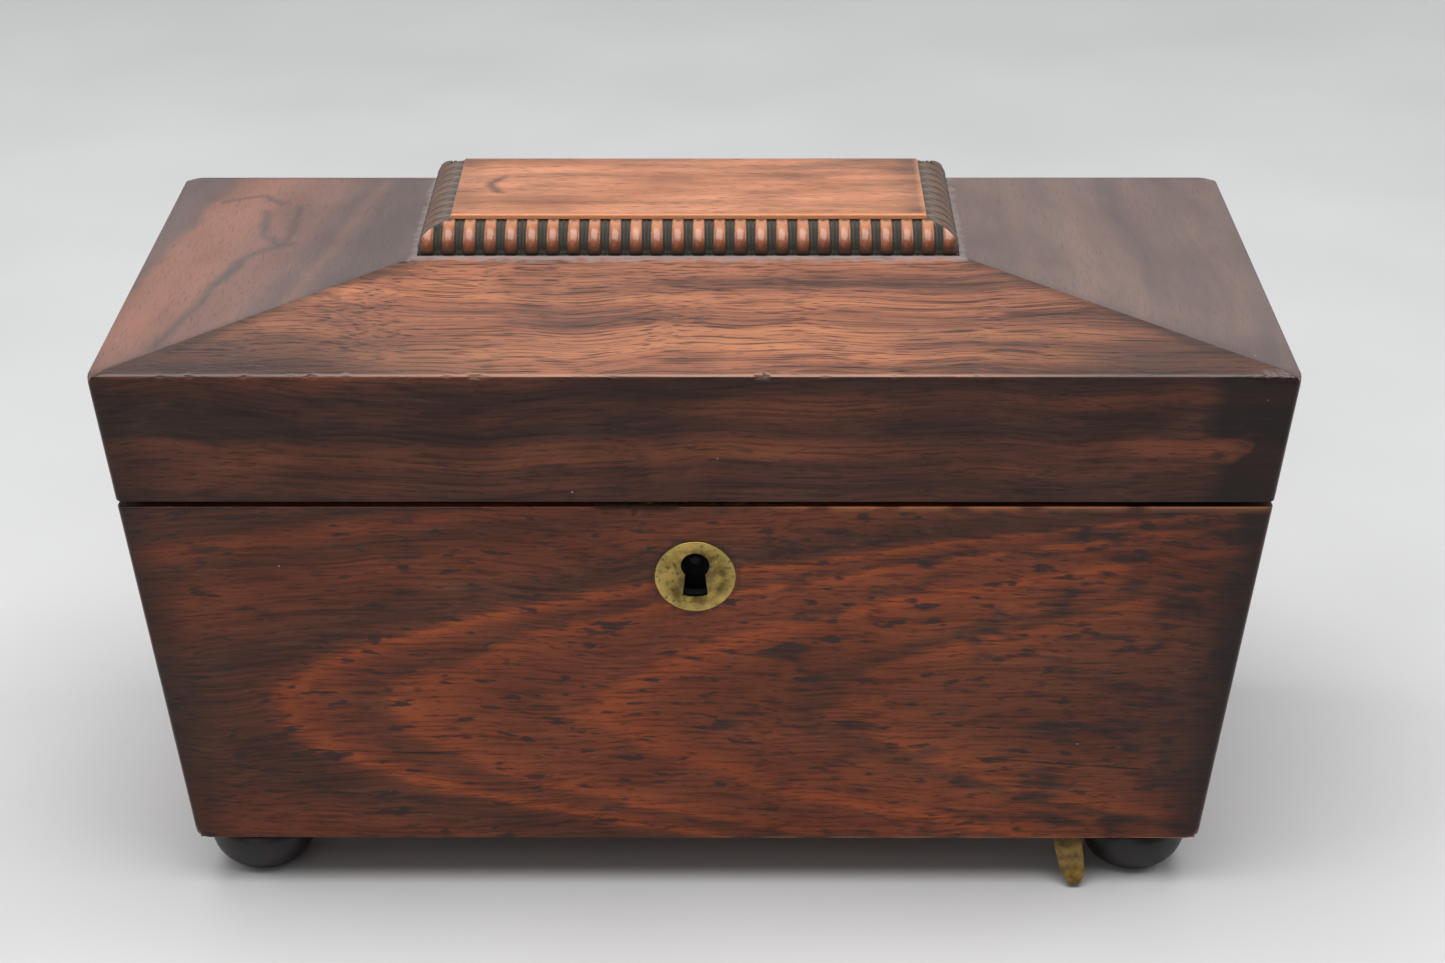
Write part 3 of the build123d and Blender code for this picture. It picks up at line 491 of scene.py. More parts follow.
def front_figure(tree):
    """Nested loops of a flat-sawn leaf: bands of colour that follow parabolas open to the right."""
    axis_z, bend = 57.0, 0.067
    loop_colours = [
        (-420, "#5a2e1d"), (-330, "#4f2c1d"), (-292, "#76391e"), (-252, "#532d1e"),
        (-215, "#71371e"), (-172, "#68341e"), (-150, "#562f1f"), (-132, "#4d2a1c"),
        (-121, "#582e1e"), (-114, "#6c351f"), (-109, "#974823"), (-100, "#793a20"),
        (-88, "#62311e"), (-81, "#68351e"), (-77, "#904422"), (-64, "#7d3d21"),
        (-45, "#6e351f"), (-28, "#76391f"), (-21, "#924421"), (-6, "#76391f"),
        (22, "#773b20"), (36, "#58301f"), (43, "#874222"), (62, "#6d371f"),
        (92, "#64331f"), (130, "#552e1f"), (160, "#4d2b1d"),
    ]
    low, high = loop_colours[0][0], loop_colours[-1][0]
    place = in_mm(tree, (1, 0, 1))
    parts = node(tree, "SeparateXYZ", {0: place})
    # The figure's edges are feathered along the wood, because they cross its fibres.
    feather = node(tree, "Math", {0: grain(tree, place, 22, 0.9, 3), 1: 22.0}, operation="MULTIPLY")
    sway = node(tree, "Math", {0: grain(tree, place, 48, 26, 2), 1: 30.0}, operation="MULTIPLY")
    above = node(tree, "Math", {0: parts.outputs["Z"], 1: axis_z}, operation="SUBTRACT")
    square = node(tree, "Math", {0: above, 1: above}, operation="MULTIPLY")
    loop = node(tree, "Math", {0: square, 1: -bend, 2: parts.outputs["X"]}, operation="MULTIPLY_ADD")
    loop = node(tree, "Math", {0: loop, 1: feather}, operation="ADD")
    loop = node(tree, "Math", {0: loop, 1: sway}, operation="ADD")
    loop = node(tree, "Math", {0: loop, 1: 26.0}, operation="SUBTRACT")
    share = node(tree, "MapRange", {0: loop, 1: low, 2: high, 3: 0.0, 4: 1.0})
    stops = [((q - low) / (high - low), code) for q, code in loop_colours]
    colour = node(tree, "ValToRGB", {0: share}, stops=stops)
    # Ink-blue smudges, a fingertip wide, that thicken towards the right-hand end.
    smudge = grain(tree, place, 17, 6, 3)
    reach = node(tree, "MapRange", {0: parts.outputs["X"], 1: -40, 2: 130, 3: 0.64, 4: 0.53})
    smudge = node(tree, "Math", {0: smudge, 1: reach}, operation="SUBTRACT")
    smudge = node(tree, "MapRange", {0: smudge, 1: -0.03, 2: 0.09, 3: 0.0, 4: 0.75})
    colour = node(tree, "Mix", {0: smudge, 6: colour, 7: srgb("#2b2120")}, data_type="RGBA")
    wobble = grain(tree, place, 9, 9, 2)
    for crack in FRONT_CRACKS:
        away = line_distance(tree, place, crack)
        away = node(tree, "Math", {0: wobble, 1: 1.2, 2: away}, operation="MULTIPLY_ADD")
        split = node(tree, "MapRange", {0: away, 1: 0.85, 2: 0.6, 3: 0.0, 4: 0.85})
        colour = node(tree, "Mix", {0: split, 6: colour, 7: srgb("#120d0c")}, data_type="RGBA")
    return colour


CORNER_R, FOOT_R, LIP_R = 2.0, 0.8, 0.35
CHIP_FROM, CHIP_TO, CHIP_DEPTH = -27.0, -3.0, 0.92  # along the rim of the front
KNOCK_DEPTH, KNOCK_REACH = 1.35, 3.4


def rim_chips(x, down):
    """How deep the front rim is where a sliver of veneer has broken off."""
    if not CHIP_FROM < x < CHIP_TO or down > 3.5:
        return 0.0
    run = 1.6 + 1.0 * noise.noise(Vector((x * 0.35, 0.0, 3.1)))
    loss = fade(down, run + 0.4, run - 0.4) * fade(abs(x - (CHIP_FROM + CHIP_TO) / 2), 12, 9)
    return CHIP_DEPTH * loss


def knocked_corner(side, away):
    """How far a corner of the box is rubbed round, from its two distances."""
    return KNOCK_DEPTH * (1 - min(1.0, math.hypot(side, away) / KNOCK_REACH)) ** 2


def case_front_relief(point, width):
    """The front: darkest at its ends, with painted shade on its rounded corners and in the gap
    round the plate; chipped at its rim; paler at its edges, partly rubbed, partly a painted highlight.
    """
    x, down = point.x, CASE_HIGH - point.z
    up = point.z - CASE_LOW
    side = width / 2 - abs(x)
    chip = rim_chips(x, down)
    cloudy = noise.noise(Vector((x * 0.03, down * 0.05, 0.0)))
    # The wide dark band at each end is wax; the narrow one on each rounded corner is painted shade.
    dark = 0.5 * fade(side, 15 + 8 * cloudy, 1) + 0.8 * fade(side, 1.8, 0.4)
    dark += 0.35 * fade(side, 38 + 30 * cloudy, 8) * (1.0 if x > 0 else 0.4)
    dark += 0.25 * fade(down, 26 + 14 * cloudy, 4) * fade(x, 20, 70)
    dark += 0.4 * fade(down, 1.2, 0) * fade(x, 0, -30)
    # Painted shade: a dark ring in the thin gap round the brass plate.
    off_plate = math.hypot(x, down - PLATE_DOWN) - PLATE_R
    dark += 0.8 * fade(off_plate, 1.5, 0.2)
    # The rim and base edges are paler towards the right: partly bare wood, partly a painted highlight.
    rubbed = 0.5 + 0.5 * noise.noise(Vector((x * 0.11, 0.0, 6.0)))
    bare_and_highlit = 0.45 * fade(down, 0.6, 0.1) * fade(x, 5, 40) * fade(rubbed, 0.2, 0.5)
    bare_and_highlit += 0.7 * fade(up, 0.9, 0.3) * fade(x, -20, 20) * fade(rubbed, 0.3, 0.6)
    return max(chip, knocked_corner(side, up)), min(0.9, dark + chip), bare_and_highlit


def plain_relief(point, width):
    """Sides that are only darker towards their edges."""
    along = point.x if abs(abs(point.y) - shell_y(point.z)) < 0.5 else point.y
    side = width / 2 - abs(along)
    up = point.z - CASE_LOW
    low = min(up, CASE_HIGH - point.z)
    dark = 0.4 * fade(side, 14, 0) + 0.4 * fade(low, 3, 0)
    return knocked_corner(side, up), min(0.85, dark), 0.0


def shell_corners(side, low, high, inset):
    """The corners of one side of the tapered shell, anticlockwise from the lower left."""
    signs = {
        "front": ((-1, -1), (1, -1)),
        "right": ((1, -1), (1, 1)),
        "back": ((1, 1), (-1, 1)),
        "left": ((-1, 1), (-1, -1)),
    }[side]
    ends = [(signs[0], low), (signs[1], low), (signs[1], high), (signs[0], high)]
    return [((shell_x(z) - inset) * sx, (shell_y(z) - inset) * sy, z) for (sx, sy), z in ends]


BESIDE = {
    "front": ("left", "right"),
    "right": ("front", "back"),
    "back": ("right", "left"),
    "left": ("back", "front"),
}


def shell_facing(side):
    """The outward normal of one upright side."""
    return facing(shell_corners(side, CASE_LOW, CASE_HIGH, 0))


case_front_wood = rosewood(
    "rosewood_front_leaf", ALONG_X, ("#33241f", "#5d3728", "#8f5538"), 0, streaks=0.5, gloss=0.36,
    figure=front_figure, flecks=0.85, mirror=0.28,
)
CASE_TONES = ("#35211a", "#653423", "#934a2b")
LEAF_APART = 310  # each leaf takes its figure from this much further along the log
PLAIN_SIDES = [("back", ALONG_X, 0.4), ("left", ALONG_Y, 0.36), ("right", ALONG_Y, 0.36)]
case_woods = {"front": case_front_wood}
for n, (side, along, gloss) in enumerate(PLAIN_SIDES, 1):
    case_woods[side] = rosewood(
        f"rosewood_{side}_leaf", along, CASE_TONES, n * LEAF_APART, streaks=0.6, gloss=gloss,
        mirror=0.35,
    )
for side, wood in case_woods.items():
    leaf = veneer(
        f"veneer_case_{side}",
        shell_corners(side, CASE_LOW, CASE_HIGH, 0),
        shell_corners(side, CASE_LOW, CASE_HIGH, VENEER),
        [(CORNER_R, MITRE), (CORNER_R, MITRE), (FOOT_R, FREE), (LIP_R, FREE)],
        1.5,
        case_front_relief if side == "front" else plain_relief,
        [shell_facing(near) for near in BESIDE[side]] + [Vector((0, 0, -1)), None],
    )
    settle(leaf, wood, "case", "rosewood_veneer", f"case_{side}_veneer")

lipping = rosewood("rosewood_lipping", ALONG_X, CASE_TONES, 50, streaks=0.5, gloss=0.4)
dress(lipping, "case_rim_lipping")
dress(case_woods["back"], "lid_rim_lipping")


# ============================================================ lid veneers
# The same rosewood, straighter in grain, on the four upright sides of the lid. Its upper edge
# has been knocked and handled most, so it is round and chipped; the pale line along it is partly
# rubbed wood and partly a painted highlight.
TABLET_LOW, TABLET_HIGH = box_mm("tablet_top")
FLAT_Y, FLAT_Z = -SLOPE_HIGH.y, SLOPE_HIGH.z
FLAT_LEFT, FLAT_RIGHT = box_mm("slope_left_veneer")[1].x, box_mm("slope_right_veneer")[0].x
HIP_TURN = math.radians(9)
HIP_R = 2.5


def slope_corners(side, inset):
    """The corners of one slope, anticlockwise from the lower left as seen from outside."""
    x, y, low = RIM_X - inset, RIM_Y - inset, RIM_Z - inset
    left, right, flat = FLAT_LEFT, FLAT_RIGHT, FLAT_Z - inset
    return {
        "front": [(-x, -y, low), (x, -y, low), (right, -FLAT_Y, flat), (left, -FLAT_Y, flat)],
        "right": [(x, -y, low), (x, y, low), (right, FLAT_Y, flat), (right, -FLAT_Y, flat)],
        "back": [(x, y, low), (-x, y, low), (left, FLAT_Y, flat), (right, FLAT_Y, flat)],
        "left": [(-x, y, low), (-x, -y, low), (left, -FLAT_Y, flat), (left, FLAT_Y, flat)],
    }[side]


LID_LOW = box_mm("lid_front_veneer")[0].z
RIM_TURN = math.radians(39.5)
RIM_R = 1.3
# Knocks along the front edge: place, length, depth.
RIM_KNOCKS = [
    (17.1, 4.5, 0.9), (33.0, 2.4, 0.35), (-54.8, 6.5, 0.5), (-62.0, 3.0, 0.35),
    (-87.5, 2.4, 0.45), (-96.0, 4.5, 0.45), (-101.0, 2.0, 0.3), (-113.0, 2.2, 0.4),
    (-127.0, 2.0, 0.5), (-134.0, 3.0, 0.3), (71.0, 2.0, 0.3), (-20.0, 2.2, 0.3),
    (50.0, 1.8, 0.25),
]


def rim_knock(x, away):
    """Depth of the knocks at a place along the lid's front edge, away from that edge."""
    depth = 0.0
    for place, length, deep in RIM_KNOCKS:
        ragged = 0.5 * noise.noise(Vector((x * 1.1, away * 0.8, place)))
        distance = math.hypot((x - place) / (length / 2), away / (0.9 + deep)) + ragged
        depth = max(depth, deep * fade(distance, 1.0, 0.2))
    crumble = fade(x, 137, 146) * fade(away, 3.2, 0.6)
    crumble *= 0.5 + 0.5 * noise.noise(Vector((x * 0.9, away * 0.9, 5.0)))
    return depth + 0.9 * crumble, crumble


def lid_front_relief(point, width):
    """The lid's front: knocked along its upper edge, dark with wax towards both ends, and with
    painted shade on its rounded corners.
    """
    x, down = point.x, RIM_Z - point.z
    knock, crumble = rim_knock(x, down)
    side = width / 2 - abs(x)
    cloudy = noise.noise(Vector((x * 0.025, down * 0.05, 9.0)))
    # The narrow dark band on each rounded corner is painted shade; the rest is wax.
    dark = 0.28 + 0.2 * cloudy + 0.35 * fade(side, 20, 0) + 0.4 * fade(side, 1.8, 0.4)
    dark += 0.4 * fade(point.z - LID_LOW, 1.6, 0)
    dark += 0.7 * fade(side, 24 + 8 * cloudy, 10) * fade(x, 0, 1) + 0.15 * fade(down, 3.5, 1.5)
    dark += 0.25 * fade(down, 20, 4) * fade(x, 60, 100)
    # A lighter patch, as long as a thumb, near the right-hand end.
    ragged = 0.9 * noise.noise(Vector((x * 0.14, down * 0.4, 2.0)))
    dark -= 0.8 * fade(math.hypot((x - 126) / 16, (down - 20) / 7) + ragged, 1.1, 0.6)
    knock = max(knock, knocked_corner(side, down))
    dark += 0.4 * crumble + 0.35 * fade(knock, 0.2, 0.5)
    return knock, max(0.0, min(0.92, dark)), 0.0


def lid_side_relief(point, width):
    """The lid's other sides: evenly dulled, and darker along the joint with the case."""
    along = point.x if abs(abs(point.y) - shell_y(point.z)) < 0.5 else point.y
    side, down = width / 2 - abs(along), RIM_Z - point.z
    dark = 0.25 + 0.4 * fade(point.z - LID_LOW, 2, 0)
    return knocked_corner(side, down), dark, 0.0


LID_TONES = ("#3a261e", "#563125", "#7f472d")
lid_woods = {
    "front": rosewood(
        "rosewood_lid_front", ALONG_X, LID_TONES, 1240, streaks=0.55, gloss=0.36, flecks=0.35,
        mirror=0.25,
    ),
}
for n, (side, along, gloss) in enumerate(PLAIN_SIDES, 5):
    lid_woods[side] = rosewood(
        f"rosewood_lid_{side}", along, LID_TONES, n * LEAF_APART, streaks=0.55, gloss=gloss,
        mirror=0.35,
    )
for side, wood in lid_woods.items():
    leaf = veneer(
        f"veneer_lid_{side}",
        shell_corners(side, LID_LOW, RIM_Z, 0),
        shell_corners(side, LID_LOW, RIM_Z - VENEER, VENEER),
        [(CORNER_R, MITRE), (CORNER_R, MITRE), (LIP_R, FREE), (RIM_R, RIM_TURN)],
        0.7 if side == "front" else 1.4,
        lid_front_relief if side == "front" else lid_side_relief,
        [shell_facing(near) for near in BESIDE[side]] + [None, facing(slope_corners(side, 0))],
    )
    settle(leaf, wood, "lid", "rosewood_veneer", f"lid_{side}_veneer")


# ============================================================ sloping veneers
# Four leaves on the hipped top, mitred at the hips and planed almost flush. The front one is
# rubbed to an orange red; the ends have a wide, calm figure under a grey film that is partly old
# wax and partly a painted grey sheen, and dust and wax have gathered round the foot of the
# tablet.
SLOPE_RUN = 3.3  # way up the slope for each unit of height


def slope_relief(side):
    """The marks of one slope: darker at its lower ends, which on the front and back is painted
    shade; knocked along its lower edge and paler there, partly rubbed, partly a painted highlight.
    """
    long_side = side in ("front", "back")

    def relief(point, width):
        rim_away = (point.z - RIM_Z) * SLOPE_RUN
        along = point.x if long_side else point.y
        knock, crumble = rim_knock(along, rim_away) if side == "front" else (0.0, 0.0)
        middle = (FLAT_LEFT + FLAT_RIGHT) / 2 * (point.z - RIM_Z) / (FLAT_Z - RIM_Z)
        hip = width / 2 - abs(along - (middle if long_side else 0.0))
        if long_side:
            # Painted shade: darker towards the ends, where the reflection of the overhead light falls
            # off.
            ends = 0.85 * fade(along, -30, -110) + 0.85 * fade(along, 40, 125)
            dark = 0.5 * fade(hip, 9, 0) + ends * fade(rim_away, 34, 0)
        else:
            dark = 0.3 * fade(hip, 3, 0.5) + 0.4 * fade(along, -50, -80)
        dark += 0.35 * fade(rim_away, 2.5, 0.5) * (1 if side == "front" else 0.4)
        # The pale line along the front's lower edge is partly rubbed wood, partly a painted highlight.
        rubbed = 0.35 if side == "front" else 0.0
        knock = max(knock, knocked_corner(hip, rim_away))
        dark += 0.5 * crumble + 0.5 * fade(knock, 0.2, 0.5)
        bare_and_highlit = rubbed * fade(rim_away, 1.6, 0.4) * fade(abs(along), 120, 60)
        return knock, max(0.0, min(0.8, dark)), bare_and_highlit

    return relief


def wax_film_and_sheen(material, strength):
    """Grey wax and dust, and a painted grey sheen: a thin film, thickest in a ragged band round
    the foot of the tablet.
    """
    tree = material.node_tree
    shader = next(n for n in tree.nodes if n.type == "BSDF_PRINCIPLED")
    colour = shader.inputs["Base Color"].links[0].from_socket
    rough = shader.inputs["Roughness"].links[0].from_socket
    place = in_mm(tree)
    parts = node(tree, "SeparateXYZ", {0: place})
    middle = (FLAT_LEFT + FLAT_RIGHT) / 2
    half = (FLAT_RIGHT - FLAT_LEFT) / 2
    beyond = []
    for axis, centre, reach in (("X", middle, half), ("Y", 0.0, FLAT_Y)):
        offset = node(tree, "Math", {0: parts.outputs[axis], 1: centre}, operation="SUBTRACT")
        offset = node(tree, "Math", {0: offset}, operation="ABSOLUTE")
        beyond.append(node(tree, "Math", {0: offset, 1: reach}, operation="SUBTRACT"))
    away = node(tree, "Math", {0: beyond[0], 1: beyond[1]}, operation="MAXIMUM")
    ragged = node(tree, "TexNoise", {"Vector": place, "Scale": 0.35, "Detail": 3.0})
    ragged = node(tree, "Math", {0: ragged, 1: 5.5}, operation="MULTIPLY")
    away = node(tree, "Math", {0: away, 1: ragged}, operation="SUBTRACT")
    band = node(tree, "MapRange", {0: away, 1: 0.2, 2: -2.0, 3: 0.0, 4: 0.7})
    film_and_sheen = node(tree, "Math", {0: band, 1: strength}, operation="MAXIMUM")
    # The grey film stands partly for wax and partly for a painted sheen, the pale room reflected.
    hazed = node(tree, "Mix", {0: film_and_sheen, 6: colour, 7: srgb("#7a7170")}, data_type="RGBA")
    rougher = node(tree, "Math", {0: film_and_sheen, 1: 0.25, 2: rough}, operation="MULTIPLY_ADD")
    tree.links.new(first_output(hazed), shader.inputs["Base Color"])
    tree.links.new(first_output(rougher), shader.inputs["Roughness"])
    return material


# Dark veins in the left end: one runs up from the near corner and forks below a small arch.
END_VEINS = [
    (1.5, [(-137.5, -69.0, 0), (-130.1, -39.2, 0), (-126.7, -24.3, 0), (-123.8, -10.6, 0)]),
    (2.0, [(-126.7, -24.3, 0), (-123.8, -10.6, 0), (-119.3, -4.5, 0), (-110.6, -3.8, 0)]),
    (1.3, [(-114.0, -3.5, 0), (-119.5, 10.0, 0), (-122.3, 32.2, 0)]),
    (1.0, [(-112.6, -2.0, 0), (-110.9, 14.0, 0), (-112.8, 31.0, 0)]),
    (1.1, [(-135.5, 48.5, 0), (-124.9, 47.5, 0), (-117.1, 36.5, 0)]),
]


def end_figure(tree):
    """A wide, calm figure under thin veins: a red patch on the left, grey-brown bands beyond."""
    slant = 0.2  # the bands lean by this much for each unit of depth
    end_colours = [
        (-170, "#553f38"), (-157, "#4d3b36"), (-151, "#5a3e35"), (-147, "#80503c"),
        (-135, "#84513c"), (-126, "#784c3a"), (-117, "#6d483b"), (-108, "#6b473a"),
        (-103, "#573e36"), (-99, "#4d3833"), (-95, "#67463a"), (-91, "#523f39"),
        (-84, "#4a3a36"), (-74, "#52403a"),
    ]
    low, high = end_colours[0][0], end_colours[-1][0]
    place = in_mm(tree, (1, 1, 0))
    parts = node(tree, "SeparateXYZ", {0: place})
    sway = node(tree, "TexNoise", {"Vector": place, "Scale": 1 / 26, "Detail": 3.0})
    across = node(
        tree, "Math", {0: parts.outputs["Y"], 1: -slant, 2: parts.outputs["X"]},
        operation="MULTIPLY_ADD",
    )
    across = node(tree, "Math", {0: sway, 1: 12.0, 2: across}, operation="MULTIPLY_ADD")
    across = node(tree, "Math", {0: across, 1: 6.0}, operation="SUBTRACT")
    share = node(tree, "MapRange", {0: across, 1: low, 2: high, 3: 0.0, 4: 1.0})
    stops = [((q - low) / (high - low), code) for q, code in end_colours]
    colour = node(tree, "ValToRGB", {0: share}, stops=stops)
    wobble = node(tree, "TexNoise", {"Vector": place, "Scale": 0.09, "Detail": 3.0})
    bent = node(
        tree, "VectorMath", {0: wobble.outputs["Color"], 1: (5, 5, 0), 2: place},
        operation="MULTIPLY_ADD",
    )
    bent = node(tree, "VectorMath", {0: bent, 1: (2.5, 2.5, 0)}, operation="SUBTRACT")
    for half_width, corners in END_VEINS:
        away = line_distance(tree, bent, corners)
        vein = node(
            tree, "MapRange", {0: away, 1: half_width * 1.9, 2: 0.0, 3: 0.0, 4: 0.75}
        )
        colour = node(tree, "Mix", {0: vein, 6: colour, 7: srgb("#372b28")}, data_type="RGBA")
    return colour


SLOPE_FRONT_TONES = ("#4a2f24", "#85523c", "#a86d4b")
slope_woods = {
    "front": rosewood(
        "rosewood_slope_front", ALONG_X, SLOPE_FRONT_TONES, 2480,
        streaks=0.9, gloss=0.33, lines=(60, 0.55),
    ),
    "back": rosewood(
        "rosewood_slope_back", ALONG_X, SLOPE_FRONT_TONES, 2790,
        streaks=0.85, gloss=0.36, lines=(60, 0.55),
    ),
    "left": rosewood(
        "rosewood_slope_left", ALONG_Y, CASE_TONES, 3100,
        streaks=0.12, gloss=0.38, figure=end_figure,
    ),
    "right": rosewood(
        "rosewood_slope_right", ALONG_Y, ("#4a3832", "#5b433a", "#674b3f"), 3410,
        streaks=0.12, gloss=0.38,
    ),
}
# How much grey film each slope has: wax, and a painted grey sheen on the ends.
WAX_AND_SHEEN = {"front": 0.05, "back": 0.05, "left": 0.22, "right": 0.3}
for side, wood in slope_woods.items():
    leaf = veneer(
        f"veneer_slope_{side}",
        slope_corners(side, 0),
        slope_corners(side, VENEER),
        [(HIP_R, HIP_TURN), (HIP_R, HIP_TURN), (RIM_R, RIM_TURN), (0.01, FREE)],
        0.7 if side == "front" else 1.5,
        slope_relief(side),
        [facing(slope_corners(near, 0)) for near in BESIDE[side]] + [shell_facing(side), None],
    )
    film_and_sheen = wax_film_and_sheen(wood, WAX_AND_SHEEN[side])
    settle(leaf, film_and_sheen, "lid", "rosewood_veneer", f"slope_{side}_veneer")


# ============================================================ tablet
# A raised board with a thin polished leaf on top. The leaf has been rubbed paler than the rest
# of the box, and has a dark ring where something wet stood, and smudges at its right end.
TABLET_X = (TABLET_LOW.x + TABLET_HIGH.x) / 2


def tablet_figure(tree):
    """Cloudy light streaks, and part of a ring where something wet stood."""
    place = in_mm(tree)
    bands = grain(tree, place, 90, 6, 4)
    colour = node(
        tree, "ValToRGB", {0: bands},
        stops=[(0.3, "#925d3e"), (0.45, "#aa6e4b"), (0.6, "#b87856"), (0.75, "#c28566")],
    )
    parts = node(tree, "SeparateXYZ", {0: place})
    ring_x, ring_y, ring_r = TABLET_X - 45.0, 1.0, 8.5
    dx = node(tree, "Math", {0: parts.outputs["X"], 1: ring_x}, operation="SUBTRACT")
    dy = node(tree, "Math", {0: parts.outputs["Y"], 1: ring_y}, operation="SUBTRACT")
    far = node(tree, "Math", {0: dx, 1: dx}, operation="MULTIPLY")
    far = node(tree, "Math", {0: dy, 1: dy, 2: far}, operation="MULTIPLY_ADD")
    far = node(tree, "Math", {0: far}, operation="SQRT")
    blur = node(tree, "TexNoise", {"Vector": place, "Scale": 0.22, "Detail": 2.0})
    far = node(tree, "Math", {0: blur, 1: 3.0, 2: far}, operation="MULTIPLY_ADD")
    off_ring = node(tree, "Math", {0: far, 1: ring_r + 1.5}, operation="SUBTRACT")
    off_ring = node(tree, "Math", {0: off_ring}, operation="ABSOLUTE")
    ring = node(tree, "MapRange", {0: off_ring, 1: 2.4, 2: 0.4, 3: 0.0, 4: 0.8})
    open_side = node(tree, "MapRange", {0: dx, 1: -3.5, 2: -6.5, 3: 0.0, 4: 1.0})
    ring = node(tree, "Math", {0: ring, 1: open_side}, operation="MULTIPLY")
    colour = node(tree, "Mix", {0: ring, 6: colour, 7: srgb("#4a2f26")}, data_type="RGBA")
    # Smoky streaks along the back edge and at the right-hand end.
    smoke = grain(tree, place, 34, 7, 3)
    far_back = node(tree, "MapRange", {0: parts.outputs["Y"], 1: -6.0, 2: 20.0, 3: 0.0, 4: 0.1})
    far_right = node(tree, "MapRange", {0: parts.outputs["X"], 1: 25.0, 2: 60.0, 3: 0.0, 4: 0.12})
    smoke = node(tree, "Math", {0: smoke, 1: far_back}, operation="ADD")
    smoke = node(tree, "Math", {0: smoke, 1: far_right}, operation="ADD")
    smoke = node(tree, "MapRange", {0: smoke, 1: 0.55, 2: 0.75, 3: 0.0, 4: 0.6})
    return node(tree, "Mix", {0: smoke, 6: colour, 7: srgb("#684232")}, data_type="RGBA")


def tablet_relief(point, width):
    """The tablet: grimy towards its ends, and paler on its front edge, partly rubbed to bare wood,
    partly a painted highlight.
    """
    side = width / 2 - abs(point.x - TABLET_X)
    near = min(point.y - TABLET_LOW.y, TABLET_HIGH.y - point.y)
    cloudy = noise.noise(Vector((point.x * 0.09, point.y * 0.12, 4.0)))
    dark = 0.3 * fade(side, 10 + 8 * cloudy, 2) * (1.3 if point.x > TABLET_X else 0.8)
    dark += 0.2 * fade(near, 5 + 4 * cloudy, 1)
    # Paler along the front arris, and a little at the right-hand end: partly rubbed, partly a
    # painted highlight on the polished edge.
    front = point.y - TABLET_LOW.y
    right = TABLET_HIGH.x - point.x
    bare_and_highlit = max(fade(front, 0.9, 0.3), 0.5 * fade(right, 0.7, 0.2))
    return 0.0, max(0.0, min(0.6, dark - bare_and_highlit)), bare_and_highlit


def level(left, right, front, back, z):
    """The corners of a flat rectangle, in the order that a leaf takes them."""
    return [(left, front, z), (right, front, z), (right, back, z), (left, back, z)]


tablet_edges = (TABLET_LOW.x, TABLET_HIGH.x, TABLET_LOW.y, TABLET_HIGH.y)
tablet = veneer(
    "tablet_leaf",
    level(*tablet_edges, TABLET_HIGH.z),
    level(*tablet_edges, TABLET_LOW.z),
    [(0.45, FREE)] * 4,
    1.2,
    tablet_relief,
)
TABLET_TONES = ("#784830", "#a06849", "#bb8768")
tablet_wood = rosewood(
    "rosewood_tablet", ALONG_X, TABLET_TONES, 0, streaks=0.22, gloss=0.3, figure=tablet_figure
)
settle(tablet, tablet_wood, "lid", "rosewood_veneer", "tablet_top")
dress(case_woods["back"], "tablet_board")


# ============================================================ gadrooned moulding
# Four carved strips of solid rosewood round the tablet, mitred at the corners: reeds that
# follow a quarter round, with a sunk channel and a thin bead between each pair. Handling has
# polished the reeds; the channels and the flanks of the reeds are darkened, partly by wax and
# soot and partly by painted shade.
MOULD_FOOT = FLAT_Z
MOULD_TOP = box_mm("gadroon_front")[1].z
MOULD_DEPTH = 8.0
TUCK = math.radians(24)  # the reeds turn in again at their feet
CARVE = 1.5
REED_CREASE = 50  # edges sharper than this stay crisp, in degrees
BEAD = 0.065  # half width of the bead in each channel, as a share of the pitch


def reed_section(phase, share):
    """Height of the carving across one pitch, from 0 in the channel to 1 on a reed's crest."""
    off = abs(phase - 0.5)
    if off < share / 2:
        return 0.2 + 0.8 * math.sqrt(max(0.0, 1 - (off / (share / 2)) ** 2))
    to_bead = (0.5 - off) / BEAD
    return 0.45 * math.sqrt(1 - to_bead**2) if to_bead < 1 else 0.0


